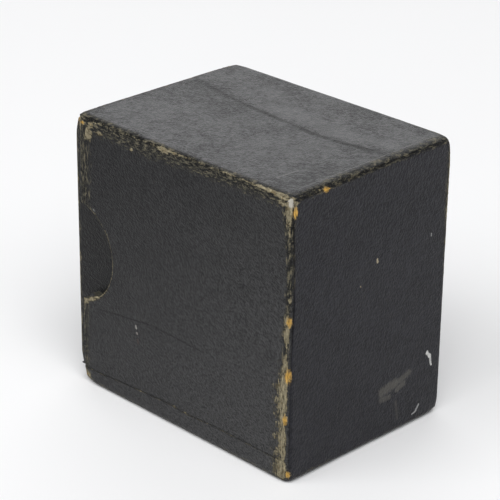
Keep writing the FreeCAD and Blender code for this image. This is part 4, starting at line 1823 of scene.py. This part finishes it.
    def wear(self, places: np.ndarray) -> np.ndarray:
        """The tray's wear, which is at its rim and its outer corners.

        Args:
            places: points in millimetres.

        Returns:
            An array of (rubbed, bare, straw, upright) rows.
        """
        low, high = np.array(TRAY_LOW), np.array(TRAY_HIGH)
        side = np.minimum(places[:, 1] - low[1], high[1] - places[:, 1])
        cap = np.minimum(places[:, 0] - low[0], high[0] - places[:, 0])
        rim = high[2] - places[:, 2]
        upright = 1 - (side + cap) / 0.8
        upper = 1 - (np.minimum(side, cap) + rim) / 0.9
        corner = 1 - (side + cap + rim) / 2.2
        patch = 0.35 * ripple(places, 3.0, 14.0)
        best = np.maximum(np.maximum(upright, upper), corner) + patch
        levels = np.stack([best, best - 0.45, corner - 0.5 + patch], axis=1)
        levels = np.clip(0.5 + 0.5 * np.maximum(levels, -1), 0, 1)
        return np.concatenate([levels, (upright > upper)[:, None]], axis=1)


# ---------------------------------------------------------------- the cake


@dataclass
class CakeBed:
    """The cushion, the velvet cup and the cake of rosin."""

    # The pad is swelled at a larger scale, and no point moves further than its cap.
    sim_scale: float = 10.0
    sim_frames: int = 20
    pad_share: tuple[float, float, float] = (0.975, 0.965, 0.86)
    pad_round: float = 1.6
    pad_voxel: float = 0.9
    pad_cap: float = 0.55
    pad_fill: float = 0.7
    seam_depth: float = 0.32
    tuft_place: tuple[float, float] = (8.0, 6.0)
    tuft_depth: float = 0.5
    cup_size: tuple[float, float, float] = (41.4, 27.4, 23.0)
    cup_corner: float = 3.7
    cup_base: float = 0.9
    cloth_thick: float = 0.55
    pleat: float = 0.22
    pleats: int = 9
    cake_corner: float = 3.0
    cake_edge: float = 1.2
    cake_foot: float = 0.6
    cake_draft: float = 1.5
    trough_radius: float = 18.0
    trough_depth: float = 1.4

    def swell(self, pad: bpy.types.Object) -> None:
        """Swell the pad with a short cloth simulation under pressure.

        Args:
            pad: the object, at the simulation's scale.
        """
        cloth = pad.modifiers.new("cloth", "CLOTH")
        cloth.settings.use_pressure = True
        cloth.settings.uniform_pressure_force = 4.0
        cloth.settings.effector_weights.gravity = 0.0
        cloth.settings.quality = 5
        cloth.point_cache.frame_start = 1
        cloth.point_cache.frame_end = self.sim_frames
        scene = bpy.context.scene
        for frame in range(1, self.sim_frames + 1):
            scene.frame_set(frame)
        settle_modifiers(pad)
        scene.frame_set(1)

    def stitch(self, places: np.ndarray, size: Vector) -> np.ndarray:
        """Pull the swelled pad in at its seam and along its ring of stitches.

        Args:
            places: points about the pad's middle, in millimetres.
            size: the pad's size.

        Returns:
            The moved points.
        """
        moved = places.copy()
        seam = np.exp(-(places[:, 2] / 0.5) ** 2) * self.seam_depth
        ring = np.abs(np.hypot(*(np.abs(places[:, :2]) - np.array(self.tuft_place)).T))
        tuft = np.exp(-(ring / 1.1) ** 2) * self.tuft_depth * (places[:, 2] > 0)
        length = np.maximum(np.linalg.norm(places[:, :2], axis=1, keepdims=True), 1e-6)
        side = np.clip((np.abs(places[:, 0]) / (size.x / 2) - 0.9) * 12, 0, 1)
        side = np.maximum(side, np.clip((np.abs(places[:, 1]) / (size.y / 2) - 0.9) * 12, 0, 1))
        moved[:, :2] -= places[:, :2] / length * (seam * side)[:, None]
        moved[:, 2] -= tuft
        return moved

    def cushion(self, material: bpy.types.Material) -> None:
        """The wadding pad: a swelled bag with a seam round its middle.

        Args:
            material: its cloth.
        """
        low, high = (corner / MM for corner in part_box("cake_cushion"))
        middle, size = (low + high) / 2, high - low
        shape = bmesh.new()
        bmesh.ops.create_cube(shape, size=1.0)
        start = [full * share for full, share in zip(size, self.pad_share)]
        bmesh.ops.scale(shape, verts=shape.verts, vec=start)
        round_edges(shape, shape.edges[:], self.pad_round, 3)
        bmesh.ops.scale(shape, verts=shape.verts, vec=(self.sim_scale,) * 3)
        pad = to_object("cushion_pad", shape)
        remesh = pad.modifiers.new("voxels", "REMESH")
        remesh.mode = "VOXEL"
        remesh.voxel_size = self.pad_voxel * self.sim_scale * MM
        settle_modifiers(pad)
        before = points_of(pad)
        self.swell(pad)
        move = points_of(pad) - before
        far = np.maximum(np.linalg.norm(move, axis=1, keepdims=True), 1e-9)
        places = before + move * np.minimum(1, self.pad_cap * self.sim_scale / far)
        places = self.stitch(places / self.sim_scale, size) + np.array(middle)
        hair = np.array((0, 0, 0.02))
        places = np.clip(places, np.array(low) + hair, np.array(high) - hair)
        pad.data.vertices.foreach_set("co", (places * MM).astype(np.float32).ravel())
        pad.data.update()
        for face in pad.data.polygons:
            face.use_smooth = True
        finer = pad.modifiers.new("smooth", "SUBSURF")
        finer.levels = finer.render_levels = 1
        settle_modifiers(pad)
        take(pad, "tray", "cake_cushion", "cushion_cloth", material)

    def cup(self, material: bpy.types.Material) -> None:
        """The velvet cup that was folded up round the cake.

        Its flat cloth is the cup's base with a side's height all round, less the corner squares.

        Args:
            material: its cloth.
        """
        low, high = (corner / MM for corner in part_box("cake_cloth"))
        middle, size = (low + high) / 2, high - low
        shape = box_shape(low, high)
        lid = [face for face in shape.faces if face.normal.z > 0.5]
        bmesh.ops.delete(shape, geom=lid, context="FACES")
        round_edges(shape, upright_edges(shape), self.cup_corner, 8)
        base = [edge for edge in shape.edges if len(edge.link_faces) == 2
                and all(vert.co.z < low.z + 0.01 for vert in edge.verts)]
        round_edges(shape, base, self.cup_base, 3)
        slice_along(shape, 2, np.arange(low.z + 1.5, high.z - 0.3, 0.75))
        for axis in (0, 1):
            slice_along(shape, axis, np.arange(low[axis] + 3.8, high[axis] - 3.8, 0.8))
        for vert in shape.verts:
            self.drape(vert, low.z, middle, size)
        piece = to_object("cake_velvet_cup", shape)
        thicken(piece, self.cloth_thick)
        take(piece, "cake", "cake_cloth", "cake_cloth", material)

    def drape(self, vert: bmesh.types.BMVert, foot: float, middle: Vector, size: Vector) -> None:
        """Wave the cup's cloth, pleat it at its corners and let its rim sag.

        Args:
            vert: one of its points.
            foot: the cup's lowest level.
            middle: the cup's middle.
            size: its size.
        """
        rise = (vert.co.z - foot) / size.z
        out = Vector((vert.co.x - middle.x, vert.co.y - middle.y, 0))
        inset_x, inset_y = abs(out.x) - size.x / 2, abs(out.y) - size.y / 2
        fold = 0.0
        if inset_x > -4.2 and inset_y > -4.2:
            angle = math.atan2(inset_y + 4.0, inset_x + 4.0)
            fold = self.pleat * math.sin(angle * self.pleats + vert.co.z * 0.1) * rise
        wave = 0.10 * noise.noise(vert.co / 3.0) * (0.3 + 0.7 * rise) - 0.10
        if out.length > 0 and vert.co.z > foot + 0.5 and rise > 0.05:
            vert.co += out.normalized() * (fold + wave)
        if vert.co.z > foot + size.z - 0.01:
            ruffle = 0.25 * math.sin((vert.co.x + vert.co.y) * 2.6)
            vert.co.z -= 0.25 + ruffle + 0.5 * abs(noise.noise(vert.co / 5.0))

    def cake(self, material: bpy.types.Material) -> None:
        """The cast cake with the trough that bow hair has worn.

        Args:
            material: its rosin.
        """
        low, high = (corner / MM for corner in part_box("rosin_cake"))
        middle = (low + high) / 2
        shape = box_shape(low, high)
        shrink = math.tan(math.radians(self.cake_draft)) * (high.z - low.z)
        for vert in shape.verts:
            if vert.co.z > middle.z:
                vert.co.x -= math.copysign(shrink, vert.co.x - middle.x)
                vert.co.y -= math.copysign(shrink, vert.co.y)
        round_edges(shape, upright_edges(shape), self.cake_corner, 8)
        for level, size in ((high.z, self.cake_edge), (low.z, self.cake_foot)):
            ring = [edge for edge in shape.edges
                    if all(abs(vert.co.z - level) < 0.01 for vert in edge.verts)]
            round_edges(shape, ring, size, 4)
        slice_along(shape, 0, np.arange(low.x + 1.0, high.x - 1.0, 0.7))
        slice_along(shape, 1, np.arange(low.y + 1.0, high.y - 1.0, 0.35))
        slice_along(shape, 2, np.arange(low.z + 1.5, high.z - 1.0, 1.0))
        axis_level = high.z + self.trough_radius - self.trough_depth
        for vert in shape.verts:
            across = abs(vert.co.y)
            if vert.co.z > high.z - self.cake_edge - 0.6 and across < self.trough_radius:
                floor = axis_level - math.sqrt(self.trough_radius ** 2 - across ** 2)
                floor += 0.05 * noise.noise(Vector((vert.co.x * 0.08, vert.co.y * 3.0, 0)))
                vert.co.z = min(vert.co.z, floor)
            out = Vector((vert.co.x - middle.x, vert.co.y, 0)).normalized()
            vert.co -= out * (0.03 + 0.03 * noise.noise(vert.co / 2.5))
        piece = to_object("rosin_block", shape)
        places = points_of(piece)
        use = np.clip(1 - np.abs(places[:, 1]) / 8.0, 0, 1) * (places[:, 2] > high.z - 2.2)
        write_wear(piece, np.repeat(use[:, None], 4, axis=1))
        take(piece, "cake", "rosin_cake", "rosin", material)

    def build(self, finish: dict[str, bpy.types.Material]) -> None:
        """Make the cushion, the cake and its cup.

        Args:
            finish: the finishes by name.
        """
        self.cushion(finish["flannel"])
        self.cake(finish["rosin"])
        self.cup(finish["velvet"])


# ---------------------------------------------------------------- the studio


@dataclass(frozen=True)
class Lamp:
    """A soft square light: its place and its side in metres, and its power in watts."""

    name: str
    place: tuple[float, float, float]
    size: float
    power: float


@dataclass
class Studio:
    """The pale floor, the soft light and the camera, which aims beside the case's middle.

    Angles are in degrees, and the camera's distance, lens and aim in millimetres.
    """

    azimuth: float = 45.38
    elevation: float = 24.20
    roll: float = 0.56
    distance: float = 365.3
    lens: float = 153.9
    aim: tuple[float, float] = (-1.956, 2.306)
    sensor: float = 36.0
    floor_size: float = 6.0
    floor_gap: float = 0.03
    sky: tuple[float, float, float, float] = (0.97, 0.98, 1.0, 1.0)
    sky_strength: float = 0.22
    lamps: tuple[Lamp, ...] = (
        Lamp("key", (-0.45, -1.5, 1.35), 1.5, 18.0), Lamp("fill", (0.9, -0.6, 1.6), 1.5, 30.0),
        Lamp("back", (-1.1, 1.1, 0.75), 1.6, 9.0))

    def camera(self) -> None:
        """Place the camera."""
        turn, lift = math.radians(self.azimuth), math.radians(self.elevation)
        roll = math.radians(self.roll)
        back = Vector((math.sin(turn) * math.cos(lift), -math.cos(turn) * math.cos(lift),
                       math.sin(lift)))
        right = (-back).cross(Vector((0, 0, 1))).normalized()
        up = right.cross(-back)
        right_rolled = right * math.cos(roll) + up * math.sin(roll)
        up_rolled = up * math.cos(roll) - right * math.sin(roll)
        aim = Vector((0, 0, HEIGHT / 2)) + right_rolled * self.aim[0] + up_rolled * self.aim[1]
        place = (aim + back * self.distance) * MM
        data = bpy.data.cameras.new("camera")
        data.lens, data.sensor_width = self.lens, self.sensor
        data.clip_start, data.clip_end = 0.01, 20.0
        camera = bpy.data.objects.new("camera", data)
        axes = Matrix((right_rolled, up_rolled, back)).transposed().to_4x4()
        camera.matrix_world = Matrix.Translation(place) @ axes
        bpy.context.scene.collection.objects.link(camera)
        bpy.context.scene.camera = camera

    def light(self, lamp: Lamp) -> None:
        """Add a light that faces the case.

        Args:
            lamp: the light.
        """
        data = bpy.data.lights.new(lamp.name, "AREA")
        data.shape, data.size, data.energy = "SQUARE", lamp.size, lamp.power
        stand = bpy.data.objects.new(lamp.name, data)
        facing = (Vector(lamp.place) - Vector((0, 0, 0.025))).to_track_quat("Z", "Y")
        stand.matrix_world = Matrix.Translation(lamp.place) @ facing.to_matrix().to_4x4()
        bpy.context.scene.collection.objects.link(stand)

    def build(self) -> None:
        """Make the floor, the world, the lights and the camera."""
        shape = bmesh.new()
        bmesh.ops.create_grid(shape, x_segments=2, y_segments=2, size=self.floor_size / 2 / MM)
        bmesh.ops.translate(shape, verts=shape.verts, vec=(0, 0, -self.floor_gap))
        floor = to_object("floor", shape)
        dress(floor, Tabletop().make())
        world = bpy.data.worlds.new("studio")
        world.use_nodes = True
        background = world.node_tree.nodes["Background"]
        background.inputs["Color"].default_value = self.sky
        background.inputs["Strength"].default_value = self.sky_strength
        bpy.context.scene.world = world
        bpy.context.scene.view_settings.view_transform = "Standard"
        for lamp in self.lamps:
            self.light(lamp)
        self.camera()


def finishes() -> dict[str, bpy.types.Material]:
    """Make every finish, with the marks on the end, the front and the top.

    Returns:
        The materials by name.
    """
    pale, grey, dark = (0.58, 0.58, 0.56), (0.070, 0.066, 0.058), (0.003, 0.003, 0.003)
    faint, painted_lap_highlight, stain = (0.36, 0.36, 0.36), (0.105, 0.105, 0.108), (0.012, 0.012, 0.013)
    end_marks = (
        Mark((END_X, 14.7, 12.6), (END_X, 15.5, 11.6), 0.34, pale, 0.95),
        Mark((END_X, 15.5, 11.6), (END_X, 15.9, 9.9), 0.24, pale, 0.8),
        Mark((END_X, 13.1, 3.2), (END_X, 12.3, 2.1), 0.2, faint, 0.8),
        Mark((END_X, 12.3, 2.1), (END_X, 11.5, 1.9), 0.16, faint, 0.8),
        Mark((END_X, 3.6, 9.0), (END_X, 6.6, 9.6), 0.95, grey, 0.85),
        Mark((END_X, 6.4, 9.2), (END_X, 10.3, 10.4), 0.6, grey, 0.75),
        Mark((END_X, 3.4, 7.6), (END_X, 5.4, 7.4), 0.55, grey, 0.7),
        Mark((END_X, 7.4, 8.2), (END_X, 8.9, 8.8), 0.6, grey, 0.8),
        Mark((END_X, 7.1, 6.0), (END_X, 7.7, 2.4), 0.3, (0.05, 0.045, 0.04), 0.6),
        Mark((END_X, 1.2, 34.2), (END_X, 1.3, 33.6), 0.22, (0.42, 0.36, 0.25), 0.8),
        Mark((END_X, -2.6, 30.6), (END_X, -2.5, 30.4), 0.12, (0.36, 0.3, 0.2), 0.8),
        Mark((END_X, 14.4, 34.8), (END_X, 14.4, 34.4), 0.16, (0.3, 0.3, 0.3), 0.8),
        Mark((END_X, 4.0, 14.5), (END_X, 9.5, 21.5), 0.2, dark, 0.5),
    )
    front_marks = (
        Mark((24.75, -18.5, 49.9), (24.95, -18.5, 49.2), 0.40, (0.50, 0.475, 0.42), 0.9),
        Mark((-11.4, -HALF_WIDTH, 15.7), (-11.3, -HALF_WIDTH, 15.3), 0.18, (0.30, 0.29, 0.27)),
        Mark((-11.2, -HALF_WIDTH, 14.5), (-11.1, -HALF_WIDTH, 14.3), 0.16, (0.30, 0.27, 0.25)),
        Mark((-11.0, -HALF_WIDTH, 13.3), (-10.9, -HALF_WIDTH, 12.6), 0.14, (0.06, 0.035, 0.03)),
        Mark((-21.9, -HALF_WIDTH, 34.1), (-21.7, -HALF_WIDTH, 33.9), 0.14, (0.2, 0.2, 0.19)),
        Mark((-21.4, -HALF_WIDTH, 15.5), (-7.2, -HALF_WIDTH, 17.3), 0.14, dark, 0.75),
        Mark((-7.2, -HALF_WIDTH, 17.3), (5.4, -HALF_WIDTH, 16.9), 0.14, dark, 0.7),
        Mark((-12.4, -HALF_WIDTH, 46.5), (-8.4, -HALF_WIDTH, 43.3), 0.16, dark, 0.8),
        Mark((-11.6, -HALF_WIDTH, 46.6), (-7.8, -HALF_WIDTH, 43.6), 0.07, (0.09, 0.09, 0.085), 0.7),
        Mark((9.2, -HALF_WIDTH, 43.9), (9.5, -HALF_WIDTH, 43.6), 0.35, dark, 0.9),
        Mark((-1.4, -HALF_WIDTH, 46.2), (1.0, -HALF_WIDTH, 45.8), 0.2, dark, 0.8),
    )
    top_marks = (
        Mark((13.8, 11.1, HEIGHT), (14.3, 11.4, HEIGHT), 0.62, stain, 0.9),
        Mark((15.0, 10.7, HEIGHT), (15.3, 10.6, HEIGHT), 0.35, stain, 0.8),
        Mark((18.1, -14.8, HEIGHT), (18.3, -10.5, HEIGHT), 0.20, (0.15, 0.15, 0.145), 0.7),
        # Painted highlight: a lighter band on the raised lap behind its line.
        Mark((-3.0, 6.9, HEIGHT), (12.5, 6.2, HEIGHT), 2.3, painted_lap_highlight, 0.45),
        Mark((12.5, 6.4, HEIGHT), (21.5, 8.0, HEIGHT), 1.9, painted_lap_highlight, 0.45),
        Mark((23.6, -15.5, HEIGHT), (23.0, 17.0, HEIGHT), 0.10, (0.13, 0.13, 0.125), 0.7),
    )
    return {
        # The front is painted lighter towards its closed end and its foot: painted light.
        "pebbled": CoatedPaper("black_paper_pebbled", marks=front_marks,
                               painted_light_direction=(0.020, 0, -0.026)).make(),
        # The top's paper is painted light grey: a painted sheen, with its clouds and blots.
        "fibrous": CoatedPaper("black_paper_fibrous", Grain.FIBROUS, coat=(0.003, 0.003, 0.004),
                               faded_and_sheen=(0.085, 0.085, 0.088), specular=0.33, relief=0.42,
                               cloudy=0.55, blotchy=0.42, marks=top_marks).make(),
        "wrinkled": CoatedPaper("black_paper_wrinkled", Grain.WRINKLED,
                                coat=(0.0015, 0.0015, 0.0035), faded_and_sheen=(0.0150, 0.0150, 0.0200),
                                specular=0.23, relief=0.22, marks=end_marks).make(),
        "tray": CoatedPaper("tray_paper", faded_and_sheen=(0.009, 0.009, 0.009), specular=0.17).make(),
        "board": Strawboard().make(),
        "tape": PlainPaper("kraft_tape", (0.30, 0.24, 0.16), (0.20, 0.155, 0.10)).make(),
        "lining": PlainPaper("lining_paper", (0.62, 0.56, 0.43), (0.46, 0.40, 0.29)).make(),
        "flannel": Flannel().make(),
        "velvet": Velvet().make(),
        "rosin": Rosin().make(),
    }


def corners(span: tuple[Vector, Vector]) -> list[list[float]]:
    """Two corners as plain lists of numbers."""
    return [list(corner) for corner in span]


def main() -> None:
    """Build the object round its frame, then the studio."""
    logging.basicConfig(level=logging.INFO, format="%(message)s", stream=sys.stdout)
    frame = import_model()
    paper = finishes()
    SlipCase().build(paper, frame["nodes"])
    Tray().build(paper, frame["nodes"])
    CakeBed().build(paper)
    Studio().build()


if __name__ == "__main__":
    main()
